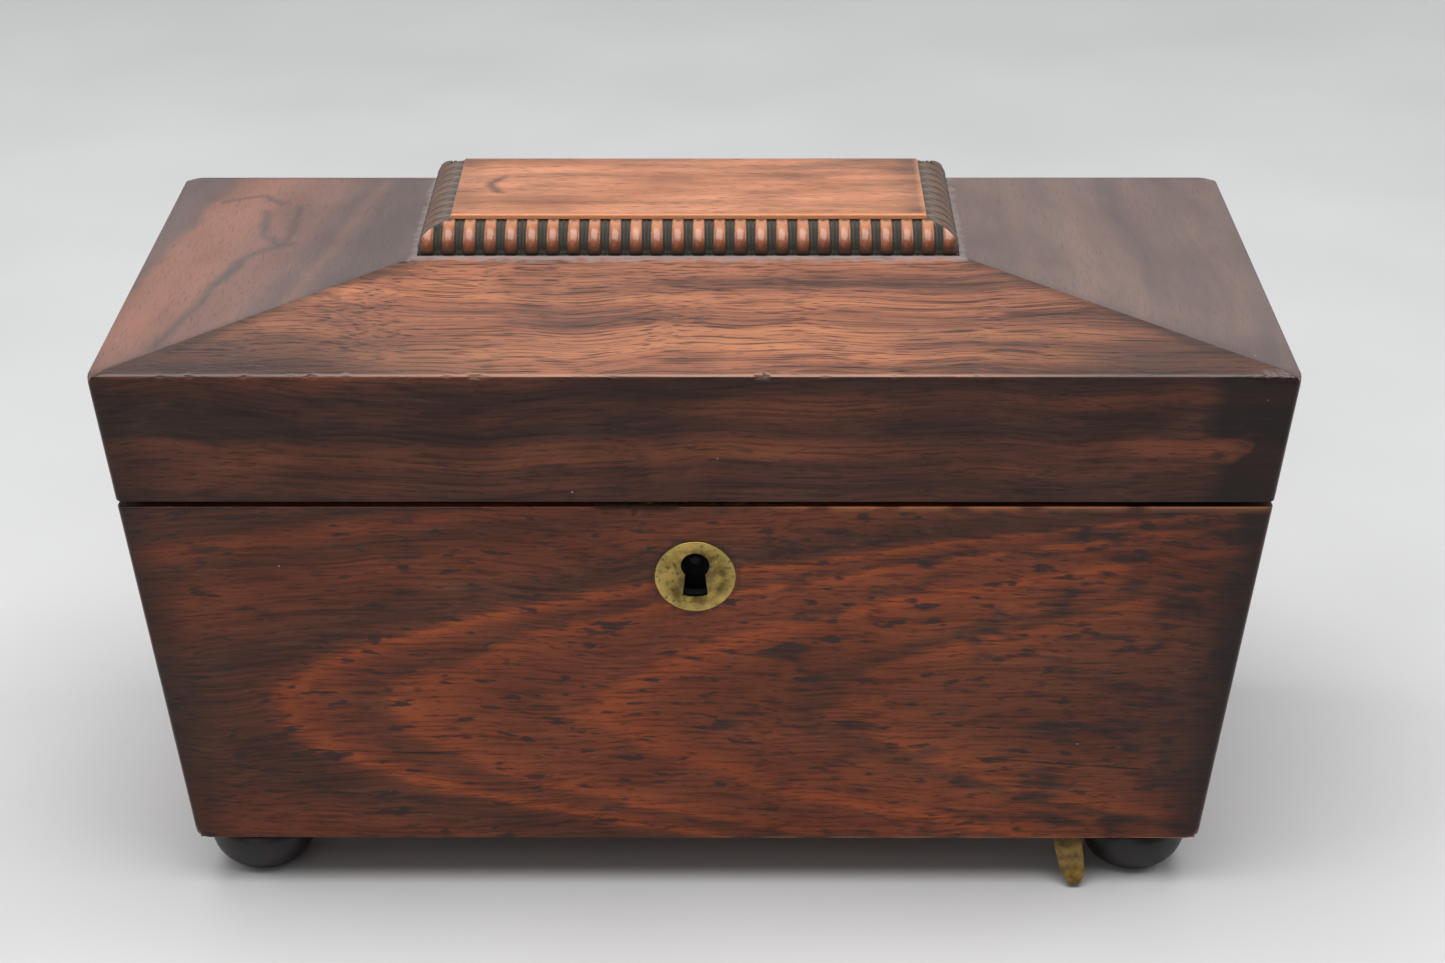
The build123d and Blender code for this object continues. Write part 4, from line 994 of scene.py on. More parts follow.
def gadroon(side, count):
    """One strip: rows climb the quarter round, columns run along it, cut to the mitres."""
    long_side = side in ("front", "back")
    half = (FLAT_RIGHT - FLAT_LEFT) / 2 if long_side else FLAT_Y
    out = FLAT_Y if long_side else (FLAT_RIGHT - FLAT_LEFT) / 2
    board = TABLET_HIGH - TABLET_LOW
    inner = (board.y if long_side else board.x) / 2 - 0.6
    per_reed, climbs, foot_high = 16, 22, 1.2
    columns = count * per_reed
    points, marks = [], []

    def add_row(inset, z, angle, depth, share):
        for column in range(columns + 1):
            x = -half + 2 * half * column / columns
            section = reed_section(column / per_reed % 1.0, share)
            cut = depth * (1 - section) * fade(half - inset - abs(x), 0.0, 0.6)
            down = cut * math.sin(max(0.0, angle))
            points.append((x, inset + cut * math.cos(angle) - out, z - down))
            # Darker away from each reed's crest: wax in the channels, and painted shade in them and on
            # the flanks.
            marks.append(fade(section, 0.9, 0.35))

    for climb in range(climbs + 1):
        t = climb / climbs
        angle = -TUCK + (math.pi / 2 + TUCK) * t
        rise = MOULD_TOP - MOULD_FOOT - foot_high if angle > 0 else foot_high / math.sin(TUCK)
        full = fade(t, 0.0, 0.22) * fade(t, 1.15, 0.6)
        add_row(
            MOULD_DEPTH * (1 - math.cos(angle)),
            MOULD_FOOT + foot_high + rise * math.sin(angle),
            angle, CARVE * (0.35 + 0.65 * full), 0.6 + 0.06 * full,
        )
    bottom = MOULD_FOOT - 0.8  # let into the slopes
    add_row(out - inner, MOULD_TOP, math.pi / 2, CARVE * 0.35, 0.6)
    add_row(out - inner, bottom, 0.0, 0.0, 0.5)
    add_row(MOULD_DEPTH * (1 - math.cos(TUCK)), bottom, 0.0, 0.0, 0.5)
    rings, wide = climbs + 4, columns + 1
    faces = []
    for ring in range(rings):
        for column in range(columns):
            a, b = ring * wide + column, (ring + 1) % rings * wide + column
            faces.append((a, a + 1, b + 1, b))
    for column in (0, columns):
        faces.append([ring * wide + column for ring in range(rings)])
    mesh = bpy.data.meshes.new(f"gadroon_strip_{side}")
    mesh.from_pydata([Vector(p) * MM for p in points], [], faces)
    mesh.attributes.new("grime_and_shade", "FLOAT", "POINT").data.foreach_set("value", marks)
    builder = bmesh.new()
    builder.from_mesh(mesh)
    for end in (-1, 1):
        corner = Vector((end * half, -out, 0)) * MM
        everything = builder.verts[:] + builder.edges[:] + builder.faces[:]
        cut = bmesh.ops.bisect_plane(
            builder, geom=everything, plane_co=corner, plane_no=(end, 1, 0), clear_outer=True
        )["geom_cut"]
        cut_edges = [part for part in cut if isinstance(part, bmesh.types.BMEdge)]
        bmesh.ops.holes_fill(builder, edges=cut_edges)
    bmesh.ops.recalc_face_normals(builder, faces=builder.faces)
    turn = math.radians({"front": 0, "right": 90, "back": 180, "left": 270}[side])
    to_side = Matrix.Translation((TABLET_X * MM, 0, 0)) @ Matrix.Rotation(turn, 4, "Z")
    bmesh.ops.transform(builder, verts=builder.verts, matrix=to_side)
    builder.to_mesh(mesh)
    builder.free()
    mesh.shade_smooth()
    mesh.set_sharp_from_angle(angle=math.radians(REED_CREASE))
    piece = bpy.data.objects.new(f"gadroon_strip_{side}", mesh)
    bpy.context.scene.collection.objects.link(piece)
    return piece


def carved_rosewood(name, soiling):
    """Reeds rubbed to a warm brown with a bright gloss; channels dull and black with wax and
    painted shade.
    """
    material, tree = new_material(name)
    place = in_mm(tree)
    # The reeds are palest at their tops: partly handling, which reaches the tops most, partly a
    # painted highlight where the tops face the light above.
    height = node(tree, "SeparateXYZ", {0: place}).outputs["Z"]
    patch = node(tree, "TexNoise", {"Vector": place, "Scale": 0.16, "Detail": 3.0})
    rubbed = node(tree, "MapRange", {0: height, 1: MOULD_FOOT, 2: MOULD_TOP, 3: -0.3, 4: 0.7})
    rubbed = node(tree, "Math", {0: patch, 1: 0.6, 2: rubbed}, operation="MULTIPLY_ADD")
    colour = node(
        tree, "ValToRGB", {0: rubbed},
        stops=[(0.15, "#43200f"), (0.45, "#6f3a20"), (0.75, "#935b3d"), (0.95, "#a87458")],
    )
    dirt_and_shade = node(tree, "Attribute", attribute_name="grime_and_shade").outputs["Fac"]
    crumbs = node(tree, "TexNoise", {"Vector": place, "Scale": 0.9, "Detail": 2.0})
    dirt_and_shade = node(tree, "Math", {0: crumbs, 1: 0.5, 2: dirt_and_shade}, operation="MULTIPLY_ADD")
    # Painted shade darkens the reeds' tucked-in feet, and their tops under the tablet's overhang.
    foot = node(tree, "MapRange", {0: height, 1: MOULD_FOOT + 2.0, 2: MOULD_FOOT, 3: 0.0, 4: 0.8})
    top = node(tree, "MapRange", {0: height, 1: MOULD_TOP - 0.25, 2: MOULD_TOP, 3: 0.0, 4: 0.7})
    dirt_and_shade = node(tree, "Math", {0: dirt_and_shade, 1: foot}, operation="ADD")
    dirt_and_shade = node(tree, "Math", {0: dirt_and_shade, 1: top}, operation="ADD")
    dirt_and_shade = node(tree, "MapRange", {0: dirt_and_shade, 1: 0.45, 2: 0.95, 3: soiling, 4: 1.0})
    colour = node(tree, "Mix", {0: dirt_and_shade, 6: colour, 7: srgb("#38332c")}, data_type="RGBA")
    rough = node(tree, "MapRange", {0: dirt_and_shade, 1: 0.0, 2: 1.0, 3: 0.24, 4: 0.55})
    bump = node(tree, "Bump", {"Height": crumbs, "Strength": 0.3, "Distance": 0.0002})
    shader = node(tree, "BsdfPrincipled", {
        "Base Color": colour, "Roughness": rough, "Normal": bump,
    })
    node(tree, "OutputMaterial", {"Surface": shader})
    return material


handled_reeds = carved_rosewood("carved_rosewood_handled", 0.0)
soiled_reeds = carved_rosewood("carved_rosewood_soiled", 0.78)
for side, count in (("front", 26), ("back", 26), ("left", 12), ("right", 12)):
    reeds = handled_reeds if side == "front" else soiled_reeds
    settle(gadroon(side, count), reeds, "lid", "rosewood_carved", f"gadroon_{side}")


# ============================================================ feet
# Turned beech, stained black and waxed: a squat bun under a narrow neck, with a spigot glued
# into the bottom board.
def turned(name, outline, centre, segments=72, flute=None):
    """A lathe-turned piece.

    outline is (radius, height) from the axis round to the axis. flute takes a ring's number and
    an angle, and gives the share of the radius that is cut away there.
    """
    points, faces = [], []
    for ring, (radius, z) in enumerate(outline):
        for n in range(segments):
            angle = 2 * math.pi * n / segments
            r = radius * (1 - (flute(ring, angle) if flute else 0.0))
            off = (r * math.cos(angle), r * math.sin(angle), z)
            points.append([c + o for c, o in zip(centre, off)])
    for ring in range(len(outline) - 1):
        a, b = ring * segments, (ring + 1) * segments
        for n in range(segments):
            m = (n + 1) % segments
            faces.append((a + n, a + m, b + m, b + n))
    faces.append(tuple(reversed(range(segments))))
    faces.append(tuple((len(outline) - 1) * segments + n for n in range(segments)))
    return make(name, points, faces, 40)


def curve_through(points, steps=8):
    """A smooth line through points, as (x, z) pairs."""
    padded = [points[0], *points, points[-1]]
    line = []
    for a, b, c, d in zip(padded, padded[1:], padded[2:], padded[3:]):
        for n in range(steps):
            t = n / steps
            line.append(tuple(
                0.5 * (2 * q + (r - p) * t + (2 * p - 5 * q + 4 * r - s) * t * t
                       + (3 * q - p - 3 * r + s) * t ** 3)
                for p, q, r, s in zip(a, b, c, d)
            ))
    return line + [points[-1]]


def black_stain():
    """Black-stained beech: nearly black, brown where the stain has worn, with a waxed gloss."""
    material, tree = new_material("ebonised_beech")
    place = in_mm(tree)
    rub = node(tree, "TexNoise", {"Vector": place, "Scale": 0.16, "Detail": 3.0})
    colour = node(
        tree, "ValToRGB", {0: rub}, stops=[(0.4, "#0c0908"), (0.6, "#170f0d"), (0.75, "#2b1913")]
    )
    rough = node(tree, "MapRange", {0: rub, 1: 0.3, 2: 0.7, 3: 0.35, 4: 0.5})
    shader = node(tree, "BsdfPrincipled", {"Base Color": colour, "Roughness": rough})
    node(tree, "OutputMaterial", {"Surface": shader})
    return material


foot_wood = black_stain()
BUN = [(0.01, 0), (5.5, 0)]
BUN += curve_through([(5.5, 0), (9.4, 1.3), (12.6, 4.4), (14.15, 8.0), (14.0, 11.0), (13.2, 12.7)])
BUN += [(12.3, 13.1), (12.1, 13.4), (12.1, 15.0), (0.01, 15.0)]
for place in ("front_left", "front_right", "back_left", "back_right"):
    low_corner, high_corner = box_mm(f"foot_{place}")
    middle = (low_corner + high_corner) / 2
    foot = turned(f"bun_foot_{place}", BUN, (middle.x, middle.y, 0))
    settle(foot, foot_wood, "case", "ebonised_wood", f"foot_{place}")


# ============================================================ keyhole plate
# A round of brass let into the front, flush and pinned by its own snug fit. Polished over the
# years, it keeps a mottled olive tarnish, darkest round the keyhole.
LEAN = math.atan(TAPER)
PLATE_CENTRE_Z = (PLATE_LOW.z + PLATE_HIGH.z) / 2  # on the face of the veneer
KEY_TOP = (3.4, 3.65)  # centre and radius of the keyhole's round
KEY_FOOT = -5.95
KEY_NECK, KEY_SKIRT = 2.47, 3.22


def keyhole_reach(angle):
    """Distance from the plate's centre to the keyhole's edge, at an angle from its right."""
    dx, dy = math.cos(angle), math.sin(angle)
    centre, radius = KEY_TOP
    inside = radius * radius - (centre * dx) ** 2
    best = max(0.0, centre * dy + math.sqrt(inside)) if inside > 0 else 0.0
    skirt = [(KEY_NECK, 1.0), (KEY_SKIRT, KEY_FOOT + 0.6), (1.7, KEY_FOOT + 0.1), (0, KEY_FOOT)]
    outline = [(KEY_NECK, centre)] + skirt + [(-x, y) for x, y in reversed(skirt)]
    outline.append((-KEY_NECK, centre))
    for (ax, ay), (bx, by) in zip(outline, outline[1:]):
        ex, ey = bx - ax, by - ay
        below = dx * ey - dy * ex
        if abs(below) < 1e-9:
            continue
        away = (ax * ey - ay * ex) / below
        along = (ax * dy - ay * dx) / below
        if away > 0 and -1e-6 <= along <= 1 + 1e-6:
            best = max(best, away)
    return best


def plate_point(x, up, out):
    """A point on the plate's own plane, which leans with the front."""
    y = -shell_y(PLATE_CENTRE_Z) - up * math.sin(LEAN) - out * math.cos(LEAN)
    return (x, y, PLATE_CENTRE_Z + up * math.cos(LEAN) - out * math.sin(LEAN))


def keyhole_plate():
    """The round plate, its soft edge, and the walls of its keyhole."""
    around = 240
    # Rings from the back of the rim, over the face, and down the keyhole: share, height.
    rings = [(1.0, -0.95), (1.0, 0.02), (0.985, 0.12), (0.96, 0.17)]
    rings += [(0.9 - 0.85 * n / 8, 0.19) for n in range(9)]
    rings += [(0.02, 0.14), (0.0, 0.05), (0.0, -0.95)]
    points = []
    for share, out in rings:
        for n in range(around):
            angle = 2 * math.pi * n / around
            hole = keyhole_reach(angle)
            r = hole + (PLATE_R - hole) * share
            points.append(plate_point(r * math.cos(angle), r * math.sin(angle), out))
    count = len(rings)
    faces = [
        (r * around + n, r * around + (n + 1) % around,
         (r + 1) % count * around + (n + 1) % around, (r + 1) % count * around + n)
        for r in range(count)
        for n in range(around)
    ]
    piece = make("keyhole_plate", points, faces, 40)
    # Painted shade: the keyhole's walls are black and its lip half dark.
    keyhole_shade = [1.0 if share < 0.01 else 0.3 if share < 0.03 else 0.0 for share, out in rings]
    layer = piece.data.attributes.new("grime_and_shade", "FLOAT", "POINT")
    layer.data.foreach_set("value", [value for value in keyhole_shade for n in range(around)])
    return piece


def old_brass(name, tones, rough_low, rough_high):
    """Old brass: rubbed yellow with olive and brown tarnish in patches, and fine scratches."""
    material, tree = new_material(name)
    place = in_mm(tree)
    stain = node(tree, "TexNoise", {"Vector": place, "Scale": 0.35, "Detail": 5.0, "Roughness": 0.65})
    colour = node(
        tree, "ValToRGB", {0: stain}, stops=[(0.34, tones[0]), (0.46, tones[1]), (0.62, tones[2])]
    )
    rough = node(tree, "MapRange", {0: stain, 1: 0.35, 2: 0.65, 3: rough_high, 4: rough_low})
    scratch = node(
        tree, "VectorMath", {0: place, 1: (1.2, 1.2, 9.0)}, operation="MULTIPLY"
    )
    scratch = node(tree, "TexNoise", {"Vector": scratch, "Scale": 1.0, "Detail": 2.0})
    bump = node(tree, "Bump", {"Height": scratch, "Strength": 0.25, "Distance": 0.0001})
    shader = node(tree, "BsdfPrincipled", {
        "Base Color": colour, "Metallic": 0.85, "Roughness": rough, "Normal": bump,
    })
    node(tree, "OutputMaterial", {"Surface": shader})
    return material


def plate_brass():
    """The plate's tarnish: an even olive yellow, pitted in spots, brighter round its rim."""
    material, tree = new_material("tarnished_brass_plate")
    place = in_mm(tree)
    cloud = node(tree, "TexNoise", {"Vector": place, "Scale": 0.3, "Detail": 4.0})
    colour = node(
        tree, "ValToRGB", {0: cloud}, stops=[(0.36, "#5e4b24"), (0.5, "#84703a"), (0.64, "#a58b4a")]
    )
    centre = plate_point(0, 0, 0)
    away = node(tree, "VectorMath", {0: place, 1: centre}, operation="DISTANCE")
    rubbed = node(tree, "MapRange", {0: away, 1: PLATE_R - 3.0, 2: PLATE_R - 0.5, 3: 0.0, 4: 0.5})
    colour = node(tree, "Mix", {0: rubbed, 6: colour, 7: srgb("#c3a964")}, data_type="RGBA")
    stained = node(tree, "MapRange", {0: away, 1: 6.8, 2: 4.0, 3: 0.0, 4: 0.45})
    colour = node(tree, "Mix", {0: stained, 6: colour, 7: srgb("#5b513a")}, data_type="RGBA")
    pits = node(tree, "TexNoise", {"Vector": place, "Scale": 0.9, "Detail": 4.0, "Roughness": 0.6})
    pits = node(tree, "MapRange", {0: pits, 1: 0.57, 2: 0.66, 3: 0.0, 4: 0.75})
    colour = node(tree, "Mix", {0: pits, 6: colour, 7: srgb("#453c26")}, data_type="RGBA")
    # Painted shade: black on the walls of the keyhole.
    hole = node(tree, "Attribute", attribute_name="grime_and_shade").outputs["Fac"]
    colour = node(tree, "Mix", {0: hole, 6: colour, 7: srgb("#080706")}, data_type="RGBA")
    rough = node(tree, "Math", {0: pits, 1: 0.25, 2: 0.36}, operation="MULTIPLY_ADD")
    bump = node(tree, "Bump", {"Height": pits, "Strength": 0.4, "Distance": 0.0001}, invert=True)
    shader = node(tree, "BsdfPrincipled", {
        "Base Color": colour, "Metallic": 0.85, "Roughness": rough, "Normal": bump,
    })
    node(tree, "OutputMaterial", {"Surface": shader})
    return material


settle(keyhole_plate(), plate_brass(), "case", "old_brass", "escutcheon")

# The veneer is cut away for the plate, as the real leaf is.
front_leaf = bpy.data.objects["veneer_case_front"]
SEAT_R, SEAT_SIDES = PLATE_R - 0.05, 96
cutter_points = [
    plate_point(SEAT_R * math.cos(a), SEAT_R * math.sin(a), out)
    for out in (-2.0, 2.0)
    for a in [2 * math.pi * n / SEAT_SIDES for n in range(SEAT_SIDES)]
]
beside_each = [(n, (n + 1) % SEAT_SIDES) for n in range(SEAT_SIDES)]
cutter_faces = [(n, m, SEAT_SIDES + m, SEAT_SIDES + n) for n, m in beside_each]
cutter_faces += [tuple(reversed(range(SEAT_SIDES))), tuple(range(SEAT_SIDES, 2 * SEAT_SIDES))]
cutter = make("plate_cutter", cutter_points, cutter_faces)
cut = front_leaf.modifiers.new("plate_seat", "BOOLEAN")
cut.object, cut.operation, cut.solver = cutter, "DIFFERENCE", "EXACT"
bpy.context.view_layer.update()
graph = bpy.context.evaluated_depsgraph_get()
seated = bpy.data.meshes.new_from_object(front_leaf.evaluated_get(graph), depsgraph=graph)
front_leaf.modifiers.clear()
front_leaf.data = seated
bpy.data.objects.remove(cutter)


# ============================================================ lock
# A brass-topped box lock let into the front board: top and back plate of brass, cap, bolt and
# lever of filed iron. The bolt slides under two hasps on the lid's link plate.
def filed_iron():
    """Filed iron gone brown-grey and dull."""
    material, tree = new_material("filed_iron")
    place = in_mm(tree)
    rust = node(tree, "TexNoise", {"Vector": place, "Scale": 0.5, "Detail": 4.0})
    colour = node(
        tree, "ValToRGB", {0: rust}, stops=[(0.35, "#4a4340"), (0.55, "#6f6a66"), (0.72, "#6b5040")]
    )
    rough = node(tree, "MapRange", {0: rust, 1: 0.3, 2: 0.7, 3: 0.38, 4: 0.62})
    shader = node(tree, "BsdfPrincipled", {
        "Base Color": colour, "Metallic": 0.9, "Roughness": rough,
    })
    node(tree, "OutputMaterial", {"Surface": shader})
    return material


def painted_dark_inside(material, depth_input):
    """Paints black shade, dull and rough, where depth_input is 1."""
    tree = material.node_tree
    shader = next(n for n in tree.nodes if n.type == "BSDF_PRINCIPLED")
    colour = shader.inputs["Base Color"].links[0].from_socket
    painted_shade = depth_input(tree)
    colour = node(tree, "Mix", {0: painted_shade, 6: colour, 7: srgb("#060505")}, data_type="RGBA")
    tree.links.new(first_output(colour), shader.inputs["Base Color"])
    metal = shader.inputs["Metallic"].default_value
    if metal:
        dull = node(tree, "Math", {0: painted_shade, 1: -metal, 2: metal}, operation="MULTIPLY_ADD")
        tree.links.new(dull.outputs[0], shader.inputs["Metallic"])
    finish = shader.inputs["Roughness"]
    rough = finish.links[0].from_socket if finish.links else finish.default_value
    rougher = node(tree, "Math", {0: painted_shade, 1: 0.45, 2: rough}, operation="MULTIPLY_ADD")
    tree.links.new(rougher.outputs[0], finish)
    return material


def below_rim(tree):
    """1 inside the lock, under its top plate."""
    height = node(tree, "SeparateXYZ", {0: in_mm(tree)}).outputs["Z"]
    return node(tree, "MapRange", {0: height, 1: CASE_HIGH - 1.6, 2: CASE_HIGH - 2.6, 3: 0.0, 4: 1.0})


def round_keyhole(tree):
    """1 on the walls of the keyhole."""
    centre = Vector(plate_point(0, 0, 0)) * Vector((1, 0, 1))
    away = node(tree, "VectorMath", {0: in_mm(tree, (1, 0, 1)), 1: centre}, operation="DISTANCE")
    return node(tree, "MapRange", {0: away, 1: 9.5, 2: 8.5, 3: 0.0, 4: 1.0})


brass = old_brass("old_brass", ("#5d4c26", "#9c8340", "#cdb268"), 0.28, 0.5)
lock_brass = old_brass("lock_brass_painted_dark", ("#4a3d20", "#7f6a35", "#a58d50"), 0.35, 0.55)
# Painted shade: the lock's parts under its top plate, and the keyhole's walls in the front board, are
# black.
dress(painted_dark_inside(lock_brass, below_rim), "lock_plate")
dress(brass, "link_plate", "hinge_pins", "case_screws", "lid_screws")
keyed_board = planed_wood("planed_mahogany_keyhole", ALONG_X, MAHOGANY, 0.62)
dress(painted_dark_inside(keyed_board, round_keyhole), "case_front_board")
for side in ("left", "right"):
    dress(brass, f"hinge_case_leaf_{side}", f"hinge_lid_leaf_{side}")
dress(painted_dark_inside(filed_iron(), below_rim), "lock_cap", "lock_bolt", "lock_lever")


# ============================================================ compartments
# Each tea compartment is lined with thin dull foil, pressed in by hand, so it is creased. The
# loose lids and the bowl board are rosewood-veneered.
def pressed_foil():
    """Tinned lead foil: grey, soft-edged creases, a broad dull shine."""
    material, tree = new_material("tinned_lead_foil")
    place = in_mm(tree)
    crease = node(tree, "TexVoronoi", {"Vector": place, "Scale": 0.07}, feature="DISTANCE_TO_EDGE")
    spots = node(tree, "TexNoise", {"Vector": place, "Scale": 0.09, "Detail": 4.0})
    colour = node(
        tree, "ValToRGB", {0: spots}, stops=[(0.35, "#5d5c58"), (0.55, "#82827e"), (0.7, "#97978f")]
    )
    rough = node(tree, "MapRange", {0: spots, 1: 0.3, 2: 0.7, 3: 0.34, 4: 0.55})
    bump = node(tree, "Bump", {"Height": crease, "Strength": 0.5, "Distance": 0.0006})
    shader = node(tree, "BsdfPrincipled", {
        "Base Color": colour, "Metallic": 0.9, "Roughness": rough, "Normal": bump,
    })
    node(tree, "OutputMaterial", {"Surface": shader})
    return material


dress(pressed_foil(), "foil_linings")
INNER_TONES = ("#3a2620", "#6d3f2b", "#96593a")
for name, board, along, offset in (
    ("rosewood_inner_lid", "inner_lid_left", ALONG_Y, 3700),
    ("rosewood_inner_lid_pair", "inner_lid_right", ALONG_Y, 3900),
    ("rosewood_bowl_board", "bowl_board", ALONG_X, 4100),
):
    dress(rosewood(name, along, INNER_TONES, offset, streaks=0.6, gloss=0.34), board)


# ============================================================ knobs
# Turned bone, with a spigot through the loose lid: creamy and finely polished.
def turned_bone():
    """Bone: warm white with a slight glow, faint grain along the axis, and a polished skin."""
    material, tree = new_material("turned_bone")
    # Bone's pores run along the axis of the turning, about 0.4 mm wide and 2.5 mm long.
    place = in_mm(tree, (2.5, 2.5, 0.4))
    grainy = node(tree, "TexNoise", {"Vector": place, "Scale": 1.0, "Detail": 3.0})
    colour = node(
        tree, "ValToRGB", {0: grainy}, stops=[(0.35, "#b9a37a"), (0.5, "#d8c8a4"), (0.7, "#e8dcc0")]
    )
    shader = node(tree, "BsdfPrincipled", {
        "Base Color": colour, "Roughness": 0.28, "Subsurface Weight": 0.15,
        "Subsurface Radius": (0.002, 0.0012, 0.0008),
    })
    node(tree, "OutputMaterial", {"Surface": shader})
    return material


bone = turned_bone()
KNOB = [(0.01, 0), (5.0, 0), (5.0, 0.7), (4.7, 1.0)]
KNOB += curve_through([(4.7, 1.0), (3.1, 2.0), (2.6, 3.3), (3.0, 4.6)])
KNOB += [(3.5, 4.8), (3.5, 5.2)]
KNOB += curve_through([
    (3.5, 5.2), (5.2, 6.1), (6.0, 7.6), (5.3, 9.4), (3.4, 10.7), (1.2, 11.3), (0.01, 11.4)
])
for side in ("left", "right"):
    low_corner, high_corner = box_mm(f"knob_{side}")
    middle = (low_corner + high_corner) / 2
    foot_z = high_corner.z - KNOB[-1][1]
    knob = turned(f"bone_knob_{side}", KNOB, (middle.x, middle.y, foot_z), 48)
    settle(knob, bone, f"tea_lid_{side}", "turned_bone", f"knob_{side}")


# ============================================================ mixing bowl
# Clear blown glass, wheel-cut with broad flutes round its lower half and polished, for
# blending the tea; it stands on baize in the middle well.
def bowl_glass():
    """Lead glass: clear with a faint grey-green in its thickness, and a hard gloss."""
    material, tree = new_material("cut_lead_glass")
    where = node(tree, "TexCoord").outputs["Object"]
    ripple = node(tree, "TexNoise", {"Vector": where, "Scale": 60.0, "Detail": 1.0})
    colour = node(tree, "ValToRGB", {0: ripple}, stops=[(0.3, "#eef3f0"), (0.7, "#f8faf9")])
    bump = node(tree, "Bump", {"Height": ripple, "Strength": 0.08, "Distance": 0.0005})
    shader = node(tree, "BsdfPrincipled", {
        "Base Color": colour, "Roughness": 0.02, "IOR": 1.54, "Transmission Weight": 1.0,
        "Normal": bump,
    })
    node(tree, "OutputMaterial", {"Surface": shader})
    return material


FLUTES, FLUTE_DEPTH = 24, 0.022  # the depth is a share of the radius
BOWL_OUTSIDE = [(0.01, 0.8), (17.5, 0.8), (19.5, 0.1), (24.4, 0.0), (25.0, 0.8)]
BOWL_OUTSIDE += curve_through([
    (25.3, 2.0), (31.5, 6.5), (36.5, 16.0), (39.4, 30.0), (40.6, 46.0), (41.3, 70.0), (41.9, 93.0)
])
BOWL_OUTSIDE += [(41.6, 94.6), (40.4, 95.0), (39.2, 94.6)]
BOWL_INSIDE = curve_through([
    (38.8, 93.5), (38.2, 70.0), (37.3, 46.0), (35.6, 28.0), (31.6, 15.0), (24.0, 8.6),
    (12.0, 6.4), (0.01, 6.2),
])


def flutes(ring, angle):
    """Broad cut flutes on the outside, from the foot to half height."""
    if ring >= len(BOWL_OUTSIDE):
        return 0.0
    z = BOWL_OUTSIDE[ring][1]
    return FLUTE_DEPTH * (0.5 + 0.5 * math.cos(FLUTES * angle)) * fade(z, 4, 9) * fade(z, 58, 46)


bowl_stands_at = (0, 0, box_mm("mixing_bowl")[0].z)
bowl = turned("cut_glass_bowl", BOWL_OUTSIDE + BOWL_INSIDE, bowl_stands_at, 192, flutes)
settle(bowl, bowl_glass(), "bowl", "bowl_glass", "mixing_bowl")


# ============================================================ baize
# A loose rectangle of green baize under the bowl, cut by hand, lying very slightly uneven.
def felted_wool():
    """Baize: a matt green nap with a soft sheen and short fuzz that breaks up the light."""
    material, tree = new_material("green_baize")
    place = in_mm(tree)
    fuzz = node(tree, "TexNoise", {"Vector": place, "Scale": 1.6, "Detail": 4.0})
    colour = node(
        tree, "ValToRGB", {0: fuzz}, stops=[(0.35, "#1d3524"), (0.55, "#2c4d35"), (0.72, "#3d6044")]
    )
    bump = node(tree, "Bump", {"Height": fuzz, "Strength": 0.6, "Distance": 0.0004})
    shader = node(tree, "BsdfPrincipled", {
        "Base Color": colour, "Roughness": 0.95, "Sheen Weight": 0.5, "Normal": bump,
    })
    node(tree, "OutputMaterial", {"Surface": shader})
    return material


BAIZE_LOW, BAIZE_HIGH = box_mm("well_baize")


def baize_relief(point, width):
    """Laid loose, it is very slightly uneven."""
    return 0.25 * abs(noise.noise(Vector((point.x * 0.06, point.y * 0.06, 7.0)))), 0.0, 0.0


baize_edges = (BAIZE_LOW.x, BAIZE_HIGH.x, BAIZE_LOW.y, BAIZE_HIGH.y)
baize = veneer(
    "baize_square",
    level(*baize_edges, BAIZE_HIGH.z),
    level(*baize_edges, BAIZE_LOW.z),
    [(0.4, FREE)] * 4,
    3.0,
    baize_relief,
)
settle(baize, felted_wool(), "case", "green_baize", "well_baize")


# ============================================================ lid pad
# A thin pad of crimson velvet over wadding, glued inside the lid, with a rolled edge.
def crimson_velvet():
    """Cotton velvet: deep red that pales at the edges of every swell, from its short pile."""
    material, tree = new_material("crimson_velvet")
    place = in_mm(tree)
    pile = node(tree, "TexNoise", {"Vector": place, "Scale": 0.9, "Detail": 4.0})
    brushed = node(tree, "TexNoise", {"Vector": place, "Scale": 0.02, "Detail": 1.0})
    brushed = node(tree, "Math", {0: brushed, 1: 0.45}, operation="MULTIPLY")
    tone = node(tree, "Math", {0: pile, 1: 0.8, 2: brushed}, operation="MULTIPLY_ADD")
    colour = node(
        tree, "ValToRGB", {0: tone}, stops=[(0.42, "#530f17"), (0.62, "#6c181f"), (0.85, "#872a2c")]
    )
    bump = node(tree, "Bump", {"Height": pile, "Strength": 0.4, "Distance": 0.0003})
    shader = node(tree, "BsdfPrincipled", {
        "Base Color": colour, "Roughness": 0.9, "Sheen Weight": 0.8, "Sheen Roughness": 0.35,
        "Normal": bump,
    })
    node(tree, "OutputMaterial", {"Surface": shader})
    return material


PAD_LOW, PAD_HIGH = box_mm("lid_pad")
PAD_ROLL = 7.0


def pad_relief(point, width):
    """The pad is full in the middle, drawn down inside its rolled edge, and a little uneven."""
    side = min(PAD_HIGH.x - abs(point.x), PAD_HIGH.y - abs(point.y))
    seam = 1.3 * math.exp(-(((side - PAD_ROLL) / 1.6) ** 2))
    loose = 0.35 * (0.5 + 0.5 * noise.noise(Vector((point.x * 0.035, point.y * 0.05, 1.0))))
    margin = 1.1 * fade(side, 30, PAD_ROLL + 2) * fade(side, PAD_ROLL - 1, PAD_ROLL + 2)
    return seam + loose + margin, 0.0, 0.0


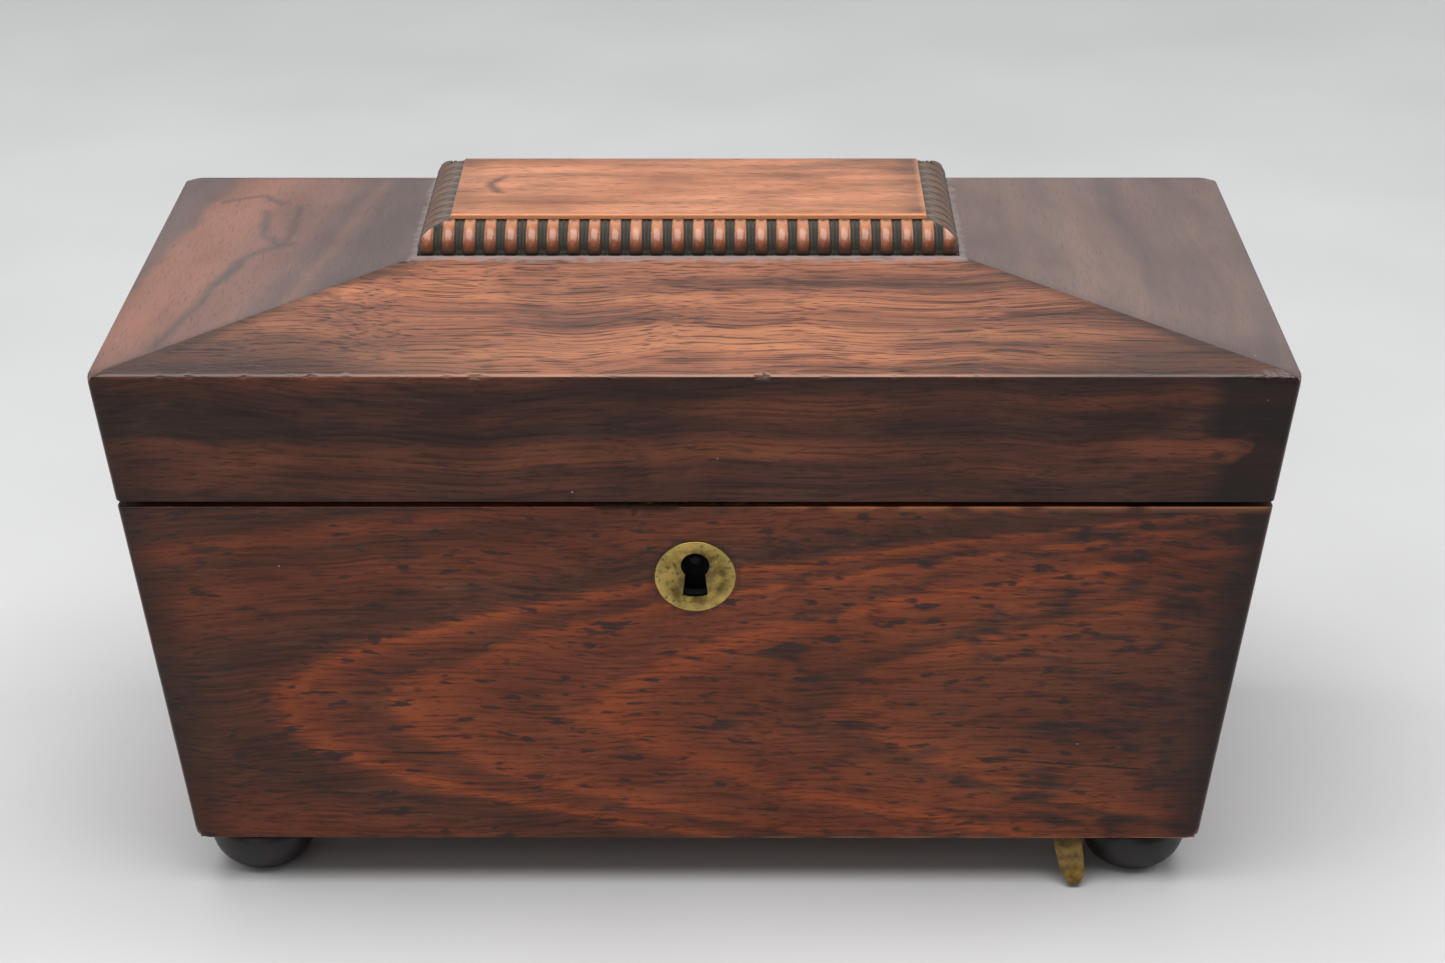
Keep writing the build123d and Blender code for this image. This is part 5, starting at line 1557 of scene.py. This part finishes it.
# The pad faces down, so its corners go the other way round.
pad_edges = (PAD_HIGH.x, PAD_LOW.x, PAD_LOW.y, PAD_HIGH.y)
pad = veneer(
    "velvet_pad",
    level(*pad_edges, PAD_LOW.z),
    level(*pad_edges, PAD_HIGH.z),
    [(1.6, FREE)] * 4,
    2.0,
    pad_relief,
)
settle(pad, crimson_velvet(), "lid", "lid_velvet", "lid_pad")


# ============================================================ tape
# A torn end of old cellulose tape, stuck under the base and hanging to the table: yellowed,
# brittle and half clear.
def old_tape():
    """Yellowed cellulose tape: amber, half clear, with a crazed gloss."""
    material, tree = new_material("yellowed_tape")
    place = in_mm(tree)
    craze = node(tree, "TexNoise", {"Vector": place, "Scale": 0.5, "Detail": 4.0})
    colour = node(
        tree, "ValToRGB", {0: craze}, stops=[(0.35, "#5c4311"), (0.5, "#7c5e1a"), (0.7, "#957a30")]
    )
    shader = node(tree, "BsdfPrincipled", {
        "Base Color": colour, "Roughness": 0.3, "Transmission Weight": 0.35, "IOR": 1.47,
    })
    node(tree, "OutputMaterial", {"Surface": shader})
    return material


# Across the box: where the tape's left and right edges are at each height.
TAPE_LEFT = [(0.6, 102.1), (4.0, 99.6), (7.0, 98.8), (15.0, 96.95)]
TAPE_RIGHT = [(1.8, 105.0), (4.0, 106.1), (7.0, 105.7), (15.0, 105.05)]


def edge_at(edge, z):
    """Place of a tape edge at a height, from its corners."""
    for (low_z, low_x), (high_z, high_x) in zip(edge, edge[1:]):
        if z <= high_z:
            return low_x + (high_x - low_x) * max(0.0, z - low_z) / (high_z - low_z)
    return edge[-1][1]


def tape_strip():
    """Flat under the base, then hanging from its front edge with a curl and a ragged end."""
    front = -shell_y(CASE_LOW)
    thick, columns, lowest = 0.12, 13, 0.65
    path = [(front + 22, CASE_LOW - thick), (front + 4.4, CASE_LOW - thick)]
    path += curve_through(
        [(front + 3.2, CASE_LOW - 0.4), (front + 1.6, 11.6), (front + 0.6, 6.4), (front - 0.9, 1.1)],
        6,
    )
    points = []
    for offset in (0.0, thick):
        for y, z in path:
            left, right = edge_at(TAPE_LEFT, z), edge_at(TAPE_RIGHT, z)
            for column in range(columns):
                share = column / (columns - 1)
                curl = 1.1 * (share - 0.5) ** 2 * fade(z, 14, 3)
                # The torn end is ragged, and higher on the right.
                torn = 0.5 * noise.noise(Vector((share * 6, 0, 0))) + 0.7 * share
                wavy = 0.2 * noise.noise(Vector((column, z * 0.4, 0)))
                x = left + (right - left) * share + wavy
                height = max(lowest, z + torn * fade(z, 3.5, 1.0))
                points.append((x, y + curl + offset, height))
    return make("tape_end", points, leaf_faces(columns, len(path)), 60)


settle(tape_strip(), old_tape(), "case", "old_tape", "tape_strip")
